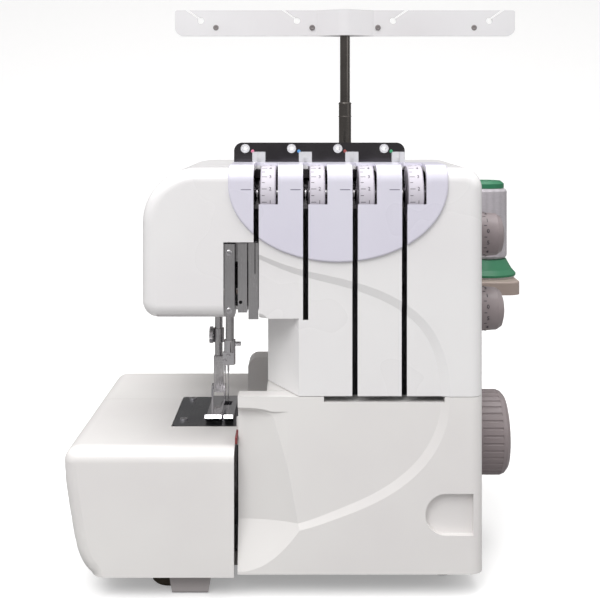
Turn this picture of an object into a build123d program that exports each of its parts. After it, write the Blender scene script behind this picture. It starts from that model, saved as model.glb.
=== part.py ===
"""Home four-thread overlock machine, modelled as an assembly of separate pieces.

Frame: X to the right, Y towards the back, Z up, millimetres. The origin is at the middle of the
footprint, on the surface that the feet stand on. Depths named "in_" are measured back from the
front face of the body, and body_y() turns them into Y.
"""
from build123d import *
from math import cos, radians, sin, sqrt
import os

# ---------------------------------------------------------------- driving sizes
WIDTH = 342.0                # cloth plate's left side to the thread guide bar's right end
DEPTH = 228.0                # cloth plate's front to the spool tray's back
PLATE_PROUD = 2.4            # how far the cloth plate stands in front of the body

WALL = 2.6                   # plastic casings
SHEET = 1.2                  # pressed steel covers
FIT = 0.4                    # gap round a fixed piece that sits in another
SEAM = 0.8                   # gap between the looper cover and what is round it
RUN = 0.05                   # radial clearance of a shaft in its bore

BODY_TOP = 288.0             # top of the body
BODY_RIGHT = 111.0           # right side of the body
BODY_DEPTH = 145.0           # body, front to back
HEAD_LEFT = -118.6           # left side of the sewing head
HEAD_BOTTOM = 187.0          # underside of the head
COLUMN_LEFT = -35.0          # left side of the column, at the throat
SEAM_Z = 135.0               # top of the looper cover
SKIRT_Z = 15.0               # bottom edge of all covers
BED_TOP = 101.0              # sewing surface
BED_BACK_IN = 205.0          # back of the bed
BED_SEAM_IN = 117.0          # seam between the cloth plate and the rear bed cover
BED_EDGE_R = 9.6             # rounding along the bed's front, back and left shoulder
CASE_SPLIT_IN = 84.0         # where the front and rear casings meet
EDGE_R = 9.0                 # rounding round the front face of the body

SLOT_PITCH = 33.1            # four thread slots
SLOT_FIRST_X = -41.5
SLOT_W = 3.6
SLOT_DEEP = 11.0
DIAL_R = 19.6                # tension dials
DIAL_W = 10.2
DIAL_GAP = 1.0
DIAL_BORE_R = 3.0
DIAL_AXIS_IN = 17.4
DIAL_AXIS_Z = 269.5
WINDOW_BOTTOM_Z = 264.0

PANEL_X = 13.3               # half-oval tension panel
PANEL_HALF_W = 73.6
PANEL_Z = 276.8
PANEL_DROP = 51.6
PANEL_T = 2.2

RECESS_LEFT = -63.5          # opening in the head for the needle bar
RECESS_RIGHT = -39.7
RECESS_TOP = 238.4
RECESS_DEEP = 34.0
LAMP_SLOT_LEFT, LAMP_SLOT_TOP = -108.5, 189.6     # notch in the head's front lower edge

NEEDLE_X, NEEDLE_IN = -66.0, 97.0
NEEDLE_BAR_R = 3.2
NEEDLE_GAP = 2.6             # between the two needles
NEEDLE_LEFT = 2.3            # the pair's middle is this far left of the bar
DOG_SHIFTS = (-10.5, -6.9, 3.6)    # feed dog rows, measured from the needle bar
NEEDLE_R = 0.6
PRESSER_X, PRESSER_IN = -75.0, 104.0
PRESSER_BAR_R = 3.0

NPLATE_LEFT, NPLATE_RIGHT = -104.0, -57.0
NPLATE_FRONT_IN, NPLATE_BACK_IN = 47.0, 123.0
NPLATE_T = 2.0

LOOPER_LEFT = -54.0          # left edge of the looper cover
LOOPER_DEEP = 16.0
SCOOP_R, SCOOP_OUT = 100.7, 91.5          # hollow at the looper cover's left end
SCOOP_LOW_R = 110.0
SCOOP_X, SCOOP_LOW, SCOOP_TOP = -52.6, 50.0, 127.5
SCOOP_LEAN, SCOOP_RUN_OUT = 10.4, 16.0    # degrees
SCOOP_FLAT_X, SCOOP_FLAT = -8.8, 8.0      # where the flat starts, and its angle
SCOOP_ROUND = 8.0
HINGE_IN, HINGE_Z = 10.0, 21.0
HINGE_PIN_R = 2.0
WALL_IN, WALL_T = LOOPER_DEEP + 2.5, 2.0    # wall behind the looper cover
KNOB_Z, KNOB_HALF, KNOB_GAP = 104.75, 2.3, 0.35    # release tab in the gap left of the cover

SHAFT_IN, SHAFT_Z = 87.0, 85.0
SHAFT_R = 5.0
WHEEL_R = 31.0
WHEEL_LEFT, WHEEL_RIGHT = 113.0, 142.0
MOTOR_IN, MOTOR_Z = 106.0, 52.0
MOTOR_R = 21.0
MOTOR_LEFT = 14.0
BELT_X = 76.0
BELT_W = 8.0
BIG_PULLEY_R, SMALL_PULLEY_R = 24.0, 8.0

SETTING_IN, SETTING_R = 60.0, 16.4     # the two setting dials on the right side
STITCH_Z, FEED_Z = 183.0, 237.0

TRAY_X = 26.0                # spool tray, thread guide bar and mast share this middle
TRAY_HALF_W = 143.0
TRAY_FRONT_IN = 150.0
TRAY_BOTTOM, TRAY_TOP = 176.5, 187.5
PIN_PITCH = 80.0
PIN_IN = 186.0
PIN_R = 3.0
PIN_TALL = 62.0
MAST_TUBE_R, MAST_ROD_R = 5.25, 4.2
MAST_TUBE_TOP = 335.0
BAR_HALF_W = WIDTH / 2 - TRAY_X
BAR_BOTTOM, BAR_TOP = 391.5, 413.5
BAR_T = 3.0
EYELET_PITCH = 82.0

GUIDE_IN = 48.0              # thread guide plate on top of the body
GUIDE_LEFT, GUIDE_RIGHT = -59.5, 62.9
GUIDE_TOP = 304.0

FOOT_R, FOOT_TALL = 13.0, 14.0
PAN_T = 3.0

LEFT = -WIDTH / 2
FRONT = -DEPTH / 2
BODY_FRONT = FRONT + PLATE_PROUD
TRAY_BACK = DEPTH / 2


def body_y(depth_in):
    """Y of a place that is depth_in behind the front face of the body."""
    return BODY_FRONT + depth_in


BODY_BACK = body_y(BODY_DEPTH)
SLOT_X = [SLOT_FIRST_X + i * SLOT_PITCH for i in range(4)]
PIN_X = [TRAY_X + (i - 1.5) * PIN_PITCH for i in range(4)]
EYELET_X = [TRAY_X + (i - 1.5) * EYELET_PITCH for i in range(4)]
PARTS = {}


# ---------------------------------------------------------------- small helpers
def box(x0, x1, y0, y1, z0, z1):
    """A block between two corners."""
    return Pos((x0 + x1) / 2, (y0 + y1) / 2, (z0 + z1) / 2) * Box(x1 - x0, y1 - y0, z1 - z0)


def rod_x(r, x0, x1, y, z):
    """A round bar along X."""
    return Pos((x0 + x1) / 2, y, z) * Rot(0, 90, 0) * Cylinder(r, x1 - x0)


def rod_y(r, y0, y1, x, z):
    """A round bar along Y."""
    return Pos(x, (y0 + y1) / 2, z) * Rot(90, 0, 0) * Cylinder(r, y1 - y0)


def rod_z(r, z0, z1, x, y):
    """A round bar along Z."""
    return Pos(x, y, (z0 + z1) / 2) * Cylinder(r, z1 - z0)


def outline(corners):
    """A closed face from (u, v, corner radius) in order, with round corners as true arcs."""
    edges, ends = [], []
    count = len(corners)
    for i, (u, v, r) in enumerate(corners):
        here = Vector(u, v)
        back = (Vector(*corners[i - 1][:2]) - here).normalized()
        on = (Vector(*corners[(i + 1) % count][:2]) - here).normalized()
        half = radians(back.get_angle(on)) / 2
        if r <= 0:
            ends.append((here, here, None))
            continue
        reach = r * cos(half) / sin(half)
        middle = here + (back + on).normalized() * (r / sin(half) - r)
        ends.append((here + back * reach, here + on * reach, middle))
    for i, (first, last, middle) in enumerate(ends):
        if middle is not None:
            edges.append(ThreePointArc(first, middle, last))
        start = ends[(i + 1) % count][0]
        if (start - last).length > 1e-6:
            edges.append(Line(last, start))
    return make_face(edges)


def front_shape(face, y0, y1):
    """A face drawn in X and Z, made solid from y0 to y1."""
    return extrude(Plane((0, y1, 0), x_dir=(1, 0, 0), z_dir=(0, -1, 0)) * face, y1 - y0)


def plan_shape(face, z0, z1):
    """A face drawn in X and Y, made solid from z0 to z1."""
    return extrude(Pos(0, 0, z0) * face, z1 - z0)


def side_shape(face, x0, x1):
    """A face drawn in Y and Z, made solid from x0 to x1."""
    return extrude(Plane((x0, 0, 0), x_dir=(0, 1, 0), z_dir=(1, 0, 0)) * face, x1 - x0)


def turned_x(profile, y, z):
    """A profile of (x, radius) points turned round an axis along X through (y, z)."""
    face = make_face(Polyline(*[(x, r) for x, r in profile], close=True))
    return Pos(0, y, z) * revolve(Plane.XY * face, Axis.X)


def turned_z(profile, x, y):
    """A profile of (radius, z) points turned round a vertical axis through (x, y)."""
    face = make_face(Polyline(*[(r, z) for r, z in profile], close=True))
    return Pos(x, y, 0) * revolve(Plane.XZ * face, Axis.Z)


def edges_where(shape, test):
    """The edges of a shape whose middle point passes a test."""
    return [e for e in shape.edges() if test(e @ 0.5)]


def joined(pieces):
    """Several solids as one compound, for a node that holds identical pieces."""
    return Compound(children=[s for p in pieces for s in p.solids()])


def add(name, shape):
    """Keeps a finished node."""
    PARTS[name] = shape


def screw_z(x, y, top, r=2.6, head=1.6, long=8.0, shank=1.4):
    """A pan-head screw with its head's top at a height, driven downwards, with a cross slot."""
    body = rod_z(r, top - head, top, x, y) + rod_z(shank, top - head - long, top - head, x, y)
    slots = box(x - r * 0.6, x + r * 0.6, y - 0.3, y + 0.3, top - 0.8, top + 1)
    slots += box(x - 0.3, x + 0.3, y - r * 0.6, y + r * 0.6, top - 0.8, top + 1)
    return body - slots


def screw_back(x, y, z, r=3.0, head=1.8, long=9.0, shank=1.6):
    """A pan-head screw whose head sits on a back face at y and whose shank runs forwards."""
    body = rod_y(r, y, y + head, x, z) + rod_y(shank, y - long, y, x, z)
    slots = box(x - r * 0.6, x + r * 0.6, y + head - 0.8, y + head + 1, z - 0.35, z + 0.35)
    slots += box(x - 0.35, x + 0.35, y + head - 0.8, y + head + 1, z - r * 0.6, z + r * 0.6)
    return body - slots


# ---------------------------------------------------------------- the body's shape
def scoop_face(grow):
    """Plan of the hollow in the column's left front corner, where the hand reaches the needle."""
    y0, y1 = body_y(-20), body_y(44)
    arc = ThreePointArc((-12, body_y(0)), (-22.5, body_y(19.5)), (COLUMN_LEFT, y1))
    face = make_face([
        arc,
        Line((COLUMN_LEFT, y1), (COLUMN_LEFT - 30, y1)),
        Line((COLUMN_LEFT - 30, y1), (COLUMN_LEFT - 30, y0)),
        Line((COLUMN_LEFT - 30, y0), (-12, y0)),
        Line((-12, y0), (-12, body_y(0))),
    ])
    return offset(face, grow) if grow else face


def body_solid(inset):
    """Head, arm and column as one solid, taken in by inset on every side but the open bottom."""
    i = inset
    bottom = SEAM_Z if i <= 0 else SEAM_Z - 5
    shape = front_shape(outline([
        (HEAD_LEFT + i, HEAD_BOTTOM + i, 11 - i),
        (HEAD_LEFT + i, BODY_TOP - i, 37 - i),
        (BODY_RIGHT - i, BODY_TOP - i, 14 - i),
        (BODY_RIGHT - i, bottom, 0),
        (COLUMN_LEFT + i, bottom, 0),
        (COLUMN_LEFT + i, HEAD_BOTTOM + i, 7 + i),
    ]), body_y(i), BODY_BACK - i)
    front = edges_where(shape, lambda p: abs(p.Y - body_y(i)) < 0.01 and p.Z > bottom + 0.5)
    shape = fillet(front, max(EDGE_R - i, 1.5))
    back = edges_where(shape, lambda p: abs(p.Y - (BODY_BACK - i)) < 0.01 and p.Z > bottom + 0.5)
    shape = fillet(back, max(EDGE_R - 2 - i, 1.5))
    return shape - plan_shape(scoop_face(max(i, 0)), SEAM_Z - 10, HEAD_BOTTOM + max(i, 0))


STEP_DEEP, STEP_WIDE = 1.6, 6.4
STEP_UPPER = [(-60, 239), (-24, 224), (21, 213), (64, 193.5), (88.5, 134)]
STEP_LOWER = [(88.5, 134), (73, 90), (40, 64.5), (-8, 46.5), (-60, 41)]


def step_face(take_in):
    """The region inside the long curved step over the upper body and the looper cover."""
    sides = []
    for points, tangents, start in ((STEP_UPPER, ((1, -0.35), (0, -1)), 1.0),
                                    (STEP_LOWER, ((0, -1), (-1, -0.05)), 0.0)):
        curve = Spline(*points, tangents=tangents)
        moved = []
        for k in range(9):
            run = curve % (k / 8)
            taper = 1 - 0.75 * abs(start - k / 8) ** 3
            moved.append(curve @ (k / 8) + Vector(run.Y, -run.X) * take_in * taper)
        sides.append(Spline(*moved))
    upper, lower = sides
    return make_face([upper, lower, Line(lower @ 1, upper @ 0)])


def step_cut():
    """The shallow hollow inside the curved step, with a sloping side."""
    deep = Plane((0, body_y(STEP_DEEP), 0), x_dir=(1, 0, 0), z_dir=(0, -1, 0)) * step_face(STEP_WIDE)
    face = Plane((0, body_y(-0.2), 0), x_dir=(1, 0, 0), z_dir=(0, -1, 0)) * step_face(-0.5)
    return loft([deep.faces()[0], face.faces()[0]])


def slot_cut(x, bottom):
    """A thread slot down the front and back over the top edge."""
    front = box(x - SLOT_W / 2, x + SLOT_W / 2, body_y(-6), body_y(SLOT_DEEP), bottom, BODY_TOP + 6)
    top = box(x - SLOT_W / 2, x + SLOT_W / 2, body_y(-6), body_y(GUIDE_IN - 8),
              DIAL_AXIS_Z - 12, BODY_TOP + 6)
    return front + top


def slot_bottom(i):
    """Where slot i ends: the first two at the head's underside, the others at the seam."""
    return HEAD_BOTTOM - 1 if i < 2 else SEAM_Z - 6


def dial_left(i):
    """Left face of tension dial i."""
    return SLOT_X[i] + SLOT_W / 2 + DIAL_GAP


def dial_window(i):
    """The opening that tension dial i shows through."""
    x0 = dial_left(i) - DIAL_GAP - 0.01
    x1 = x0 + DIAL_W + 2 * DIAL_GAP + 0.6
    opening = box(x0, x1, body_y(-6), body_y(DIAL_AXIS_IN + 8), WINDOW_BOTTOM_Z, BODY_TOP + 6)
    return opening + rod_x(DIAL_R + 0.7, x0, x1, body_y(DIAL_AXIS_IN), DIAL_AXIS_Z)


def panel_region():
    """The half-oval outline of the tension panel, open over the top."""
    left, right = PANEL_X - PANEL_HALF_W, PANEL_X + PANEL_HALF_W
    top = BODY_TOP + 20
    return make_face([
        EllipticalCenterArc((PANEL_X, PANEL_Z), PANEL_HALF_W, PANEL_DROP, 180, arc_size=180),
        Line((right, PANEL_Z), (right, top)),
        Line((right, top), (left, top)),
        Line((left, top), (left, PANEL_Z)),
    ])


def make_casings():
    """Front and rear casings of the head, arm and column, and the tension panel on them."""
    skin = body_solid(0) - body_solid(WALL)
    split_y = body_y(CASE_SPLIT_IN)
    front = skin & box(-400, 400, -400, split_y - 0.15, 0, 500)
    rear = skin & box(-400, 400, split_y + 0.15, 400, 0, 500)

    front -= step_cut()
    recess = box(RECESS_LEFT, RECESS_RIGHT, body_y(-2), body_y(RECESS_DEEP), HEAD_BOTTOM - 1, RECESS_TOP)
    front -= recess
    for i, x in enumerate(SLOT_X):
        front -= slot_cut(x, slot_bottom(i))
        front -= dial_window(i)
    throat = box(PRESSER_X - 9, NEEDLE_X + 9, body_y(NEEDLE_IN - 14), body_y(PRESSER_IN + 12),
                 HEAD_BOTTOM - 2, HEAD_BOTTOM + WALL + 1)
    front -= throat
    rear -= throat
    lamp_hole = box(-106, -84, body_y(16), body_y(50), HEAD_BOTTOM - 2, HEAD_BOTTOM + WALL + 1)
    front -= lamp_hole
    front -= box(GUIDE_LEFT - FIT, GUIDE_RIGHT + FIT, body_y(GUIDE_IN - FIT),
                 body_y(GUIDE_IN + SHEET + FIT), BODY_TOP - WALL - 1, BODY_TOP + 3)
    y, x0, r = body_y(SETTING_IN), BODY_RIGHT, SETTING_R
    for z in (STITCH_Z, FEED_Z):
        seat = [(x0 - 0.5, 0), (x0 - 0.5, r + 4), (x0, r + 4), (x0 + 2.6, r + 3.4), (x0 + 2.6, 0)]
        front += turned_x(seat, y, z)
        front += rod_x(7, x0 - WALL - 5, x0 - 0.5, y, z)
        front -= rod_x(DIAL_BORE_R + RUN, x0 - 20, x0 + 5, y, z)
    front -= box(LAMP_SLOT_LEFT, RECESS_LEFT, body_y(-2), body_y(WALL + 4), HEAD_BOTTOM - 1, LAMP_SLOT_TOP)
    for k in range(7):
        z = 205 + k * 7
        rear -= box(40, 88, BODY_BACK - 5, BODY_BACK + 5, z, z + 2.6)
    lifter_slot = box(PRESSER_X - 6, PRESSER_X + 6, BODY_BACK - 5, BODY_BACK + 5, 192, 214)
    rear -= lifter_slot
    for x, z in BRACKET_HOLES:
        rear -= rod_y(1.9, BODY_BACK - 5, BODY_BACK + 5, x, z)
    for x, z in REAR_SCREWS:
        rear -= rod_y(1.9, BODY_BACK - 5, BODY_BACK + 5, x, z)
    add("front_casing", front)
    add("rear_casing", rear)

    panel = front_shape(panel_region(), body_y(-10), body_y(GUIDE_IN - 2)) & body_solid(-PANEL_T)
    panel -= body_solid(0)
    rim = edges_where(panel, lambda p: abs(p.Y - body_y(-PANEL_T)) < 0.02 and p.Z < PANEL_Z + 1)
    panel = fillet(rim, PANEL_T * 0.6)
    for i, x in enumerate(SLOT_X):
        panel -= slot_cut(x, slot_bottom(i))
        panel -= dial_window(i)
    add("tension_panel", panel)


BRACKET_HOLES = [(TRAY_X - 14, 170.0), (TRAY_X + 14, 170.0), (TRAY_X - 14, 152.0), (TRAY_X + 14, 152.0)]
REAR_SCREWS = [(HEAD_LEFT + 22, 256.0), (BODY_RIGHT - 14, 266.0), (BODY_RIGHT - 14, 146.0),
               (COLUMN_LEFT + 12, 146.0)]


# ---------------------------------------------------------------- lower covers
PLATE_RIGHT = LOOPER_LEFT - 2.3
LOWER_TOP = SEAM_Z - SEAM / 2
BED_BACK = body_y(BED_BACK_IN)


def side_profile(inset, right, low):
    """Front view of the bed's left end: flat top, round shoulder and a side that leans in."""
    i = inset
    shoulder = BED_EDGE_R + 0.4
    top, left = BED_TOP - i, LEFT + i
    lean = [(left + 2.5, 65), (left + 6.5, 41), (left + 13, 22), (left + 19, low)]
    side = Spline((left, BED_TOP - shoulder), *lean, tangents=((0, -1), (0.75, -0.66)))
    r = shoulder - i
    corner = ThreePointArc((left, top - r), (left + r * 0.2929, top - r * 0.2929), (left + r, top))
    return make_face([
        Line((right, low), (right, top)),
        Line((right, top), (left + r, top)),
        corner,
        side,
        Line((left + 19, low), (right, low)),
    ])


def make_bed():
    """The sliding cloth plate and the fixed rear bed cover with its raised block."""
    i = WALL
    outer = front_shape(side_profile(0, PLATE_RIGHT, SKIRT_Z), FRONT, body_y(BED_SEAM_IN))
    outer = fillet(edges_where(outer, lambda p: abs(p.Y - FRONT) < 0.01 and p.Z > SKIRT_Z + 1
                               and p.X < PLATE_RIGHT - 1), BED_EDGE_R)
    inner = front_shape(side_profile(i, PLATE_RIGHT + 5, SKIRT_Z - 1), FRONT + i, body_y(BED_SEAM_IN + 5))
    inner = fillet(edges_where(inner, lambda p: abs(p.Y - FRONT - i) < 0.01 and p.Z > SKIRT_Z
                               and p.X < PLATE_RIGHT), BED_EDGE_R - i)
    plate = outer - inner
    plate -= box(NPLATE_LEFT - FIT, PLATE_RIGHT + 1, body_y(NPLATE_FRONT_IN - FIT),
                 body_y(BED_SEAM_IN + 1), BED_TOP - 8, BED_TOP + 1)
    add("cloth_plate", plate)

    y0 = body_y(BED_SEAM_IN + FIT)
    right = COLUMN_LEFT - FIT
    outer = front_shape(side_profile(0, right, SKIRT_Z), y0, BED_BACK)
    inner = front_shape(side_profile(i, right - i, SKIRT_Z - 1), y0 - 5, BED_BACK - i)
    outer = fillet(edges_where(outer, lambda p: abs(p.Y - BED_BACK) < 0.01 and p.Z > SKIRT_Z + 1
                               and p.X < right - 1), BED_EDGE_R)
    inner = fillet(edges_where(inner, lambda p: abs(p.Y - BED_BACK + i) < 0.01 and p.Z > SKIRT_Z
                               and p.X < right - i - 1), BED_EDGE_R - i)
    cover = outer - inner
    open_side = box(right - i - 1, right + 1, y0 - 1, BODY_BACK + 1, SKIRT_Z - 1, BED_TOP - i)
    cover -= open_side
    block_left = -53.4
    block = front_shape(outline([(block_left, BED_TOP - 1, 0), (block_left, 132, 8), (right, 132, 0),
                                 (right, BED_TOP - 1, 0)]), body_y(NPLATE_BACK_IN + 0.4), BODY_BACK - 0.5)
    hollow = front_shape(outline([(block_left + i, BED_TOP - 9, 0), (block_left + i, 132 - i, 5.4),
                                  (right + 5, 132 - i, 0), (right + 5, BED_TOP - 9, 0)]),
                         body_y(NPLATE_BACK_IN + 0.4 + i), BODY_BACK - 0.5 - i)
    cover = cover + block - hollow
    cover -= box(NPLATE_LEFT - FIT, NPLATE_RIGHT + FIT, y0 - 1, body_y(NPLATE_BACK_IN + FIT),
                 BED_TOP - 8, BED_TOP + 1)
    add("rear_bed_cover", cover)


def looper_scoop(grow):
    """The hollow down the looper cover's left end: a leaning cylinder that runs out below, with a flat beside it."""
    y = body_y(-SCOOP_OUT)
    low = SCOOP_LOW
    upper = Pos(SCOOP_X, y, low) * Rot(0, -SCOOP_LEAN, 0) * Cylinder(SCOOP_R + grow, 400)
    upper &= box(-90, 20, body_y(-40), body_y(30), SKIRT_Z - 5, SCOOP_TOP + grow)
    ceiling = edges_where(upper, lambda p: p.Z > SCOOP_TOP + grow - 0.01 and p.Y > body_y(-1))
    upper = fillet(ceiling, SCOOP_ROUND)
    lower_y = body_y(SCOOP_R - SCOOP_OUT) - SCOOP_LOW_R / cos(radians(SCOOP_RUN_OUT))
    lower = Pos(SCOOP_X, lower_y, low) * Rot(-SCOOP_RUN_OUT, 0, 0) * Cylinder(SCOOP_LOW_R + grow, 400)
    y0 = body_y(grow)
    slope = 60 * sin(radians(SCOOP_FLAT)) / cos(radians(SCOOP_FLAT))
    flat = make_face(Polyline((SCOOP_FLAT_X + grow, y0), (SCOOP_FLAT_X - 60, y0 + slope),
                              (SCOOP_FLAT_X - 60, y0 - 9), (SCOOP_FLAT_X + grow, y0 - 9), close=True))
    return (upper & lower) + plan_shape(flat, low + 1, SCOOP_TOP - 3)


def looper_pocket(grow):
    """The thumb hollow at the looper cover's right end."""
    r = 13.9 + grow
    face = outline([(71.8 - grow, 42 - grow, r), (104 + grow, 42 - grow, 0), (104 + grow, 70 + grow, 0),
                    (71.8 - grow, 70 + grow, r)])
    return front_shape(face, body_y(-5), body_y(5.0 + grow))


def looper_solid(inset):
    """The looper cover's outer form, taken in by inset, with its pockets."""
    i = inset
    top = LOWER_TOP - i
    shape = box(LOOPER_LEFT, BODY_RIGHT - i, body_y(i), body_y(LOOPER_DEEP + i * 3),
                SKIRT_Z + 1 - i * 3, top)
    right = edges_where(shape, lambda p: abs(p.Y - body_y(i)) < 0.01 and abs(p.X - BODY_RIGHT + i) < 0.01)
    shape = fillet(right, EDGE_R - i)
    shape -= looper_scoop(i)
    shape -= box(3.9 - i, 84.9 + i, body_y(-5), body_y(60), 131 - i, SEAM_Z + 5)
    return shape - looper_pocket(i)


KNUCKLES = [(-34.0, -16.0), (62.0, 80.0)]
SWING_R = 6.2                # the cover's lower back corners are rounded to this about the hinge


def make_looper_cover():
    """The front cover over the loopers, with hinge knuckles on a rod along its bottom."""
    y, z = body_y(HINGE_IN), HINGE_Z
    cover = looper_solid(0) - looper_solid(WALL) - step_cut()
    for x0, x1 in KNUCKLES:
        cover += rod_x(HINGE_PIN_R + 2.2, x0, x1, y, z)
        cover += box(x0, x1, body_y(WALL - 0.6), y, z - 2, z + 2)
        cover -= rod_x(HINGE_PIN_R + RUN, x0 - 1, x1 + 1, y, z)
    corner = box(LOOPER_LEFT - 1, BODY_RIGHT + 1, y, body_y(LOOPER_DEEP + 1), SKIRT_Z - 1, z)
    cover -= corner - rod_x(SWING_R, LOOPER_LEFT - 2, BODY_RIGHT + 2, y, z)
    catch = box(92, 100, body_y(WALL - 0.5), body_y(13), 112, 115)
    catch += box(92, 100, body_y(11), body_y(13), 109, 115)
    add("looper_cover", cover + catch)
    add("looper_hinge_rod", rod_x(HINGE_PIN_R, -46, 92, y, z))


def make_lower_housing():
    """Lower back cover of the body, the wall behind the looper cover and the ledge at the throat."""
    i = WALL
    y0 = body_y(LOOPER_DEEP + 1)
    left, top = COLUMN_LEFT, LOWER_TOP
    outer = box(left, BODY_RIGHT, y0, BODY_BACK, SKIRT_Z, top)
    back_right = edges_where(outer, lambda p: abs(p.Y - BODY_BACK) < 0.01 and abs(p.X - BODY_RIGHT) < 0.01)
    outer = fillet(back_right, EDGE_R - 2)
    inner = box(left - 5, BODY_RIGHT - i, y0 - 5, BODY_BACK - i, SKIRT_Z - 5, top + 5)
    back_right = edges_where(inner, lambda p: abs(p.Y - BODY_BACK + i) < 0.01
                             and abs(p.X - BODY_RIGHT + i) < 0.01)
    inner = fillet(back_right, EDGE_R - 2 - i)
    housing = outer - inner
    housing += box(left, left + i, body_y(44), BODY_BACK - 1, BED_TOP + 1, top)
    ledge = box(left, -10, y0, body_y(47), top - 3.2, top)
    housing += ledge
    housing += box(left, left + i, body_y(44), body_y(47), BED_TOP + 1, top)
    housing -= rod_x(SHAFT_R + 2.0, BODY_RIGHT - 5, BODY_RIGHT + 5, body_y(SHAFT_IN), SHAFT_Z)
    housing -= box(BODY_RIGHT - 5, BODY_RIGHT + 5, *INLET_Y, *INLET_Z)
    housing -= box(BODY_RIGHT - 5, BODY_RIGHT + 5, *SWITCH_Y, *SWITCH_Z)
    for k in range(6):
        z = 40 + k * 6
        housing -= box(20, 80, BODY_BACK - 5, BODY_BACK + 5, z, z + 2.4)
    for x, z in ((left + 16, 112.0), (BODY_RIGHT - 14, 112.0), (BODY_RIGHT - 14, 28.0)):
        housing -= rod_y(1.9, BODY_BACK - 5, BODY_BACK + 5, x, z)
    add("lower_housing", housing)

    wall_y = body_y(WALL_IN)
    wall = box(left + 0.4, BODY_RIGHT - i - 0.4, wall_y, wall_y + WALL_T, PAN_TOP + 6.4, top - 3.8)
    wall -= box(left - 1, -8, wall_y - 1, wall_y + 4, 30, 112)
    wall += box(LOOPER_LEFT - 1.8, left + 3, wall_y, wall_y + WALL_T, 97, 116)
    wall -= box(LOOPER_LEFT - 3, LOOPER_LEFT - 0.05, wall_y - 1, wall_y + 4, KNOB_Z - KNOB_HALF - 0.3,
                KNOB_Z + KNOB_HALF + 0.3)
    for x, z in GUIDE_BUTTONS:
        wall += rod_y(4.2, wall_y - 3.0, wall_y + 1.0, x, z)
        wall -= rod_y(1.4, wall_y - 3.5, wall_y + 3.0, x, z)
    add("looper_wall", wall)


GUIDE_BUTTONS = [(2.0, 112.0), (2.0, 84.0), (30.0, 96.0), (56.0, 112.0)]
INLET_Y, INLET_Z = (body_y(112), body_y(136)), (26.0, 46.0)
SWITCH_Y, SWITCH_Z = (body_y(118), body_y(132)), (52.0, 74.0)


# ---------------------------------------------------------------- base, frame and drive
PAN_BOTTOM = FOOT_TALL
PAN_TOP = PAN_BOTTOM + PAN_T
PAN_LEFT, PAN_RIGHT = -144.0, BODY_RIGHT - WALL - 0.6
PAN_STEP_X = -58.0
FEET = [(-102.0, 30.0), (-128.0, 182.0), (88.0, 46.0), (88.0, 128.0), (-70.0, 188.0)]


def make_base():
    """Bottom pan, its rubber feet, the small front leg and the hinge brackets for the cover."""
    y_left, y_right = FRONT + WALL + 2.5, body_y(LOOPER_DEEP + 3.0)
    back_left, back_right = BED_BACK - WALL - 0.6, BODY_BACK - WALL - 0.6
    face = outline([
        (PAN_LEFT, y_left, 12), (PAN_STEP_X, y_left, 0), (PAN_STEP_X, y_right, 0), (PAN_RIGHT, y_right, 2),
        (PAN_RIGHT, back_right, 4), (-39, back_right, 0), (-39, back_left, 2), (PAN_LEFT, back_left, 18),
    ])
    pan = plan_shape(face, PAN_BOTTOM, PAN_TOP + 6)
    pan -= plan_shape(offset(face, -2.2), PAN_TOP, PAN_TOP + 10)
    y, z = body_y(HINGE_IN), HINGE_Z
    for x0, x1 in BRACKETS:
        arm = rod_x(HINGE_PIN_R + 2.0, x0, x1, y, z) + box(x0, x1, y, y_right + 1, z - 2.5, z + 2)
        pan += arm
        pan -= rod_x(HINGE_PIN_R + RUN, x0 - 1, x1 + 1, y, z)
    for x, d in FEET:
        pan -= rod_z(2.1, PAN_BOTTOM - 1, PAN_TOP + 1, x, body_y(d))
    for x in LEG_SCREWS:
        pan -= rod_z(1.45, PAN_BOTTOM - 1, PAN_TOP + 1, x, body_y(11))
    add("base_pan", pan)
    feet = [turned_z([(0, 0), (FOOT_R - 1.5, 0), (FOOT_R, 1.5), (FOOT_R - 1.5, FOOT_TALL - 0.05),
                      (2.0, FOOT_TALL - 0.05), (2.0, PAN_TOP), (0, PAN_TOP)], x, body_y(d)) for x, d in FEET]
    add("rubber_feet", joined(feet))
    leg = front_shape(make_face(Polyline((-98.7, 0.3), (-74.4, 0.3), (-72, PAN_BOTTOM - 0.05),
                                         (-101, PAN_BOTTOM - 0.05), close=True)), body_y(7), body_y(15))
    for x in LEG_SCREWS:
        leg += rod_z(1.4, PAN_BOTTOM - 1, PAN_TOP, x, body_y(11))
    leg = fillet(edges_where(leg, lambda p: p.Z < 0.4 and abs(p.Y - body_y(7)) < 0.1), 1.5)
    add("front_leg", leg)


BRACKETS = [(-44.0, -38.0), (86.0, 91.0)]
LOW_IN, LOW_PIVOT_X, LOW_PIVOT_Z = NEEDLE_IN + 8, NEEDLE_X + 14, 45.0
UP_IN, UP_X = NEEDLE_IN - 7, NEEDLE_X + 21
KNIFE_IN, KNIFE_X = NEEDLE_IN - 22, NPLATE_RIGHT + 1.2
LEG_SCREWS = (-94.0, -79.0)
WEB_IN = 120.0


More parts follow.
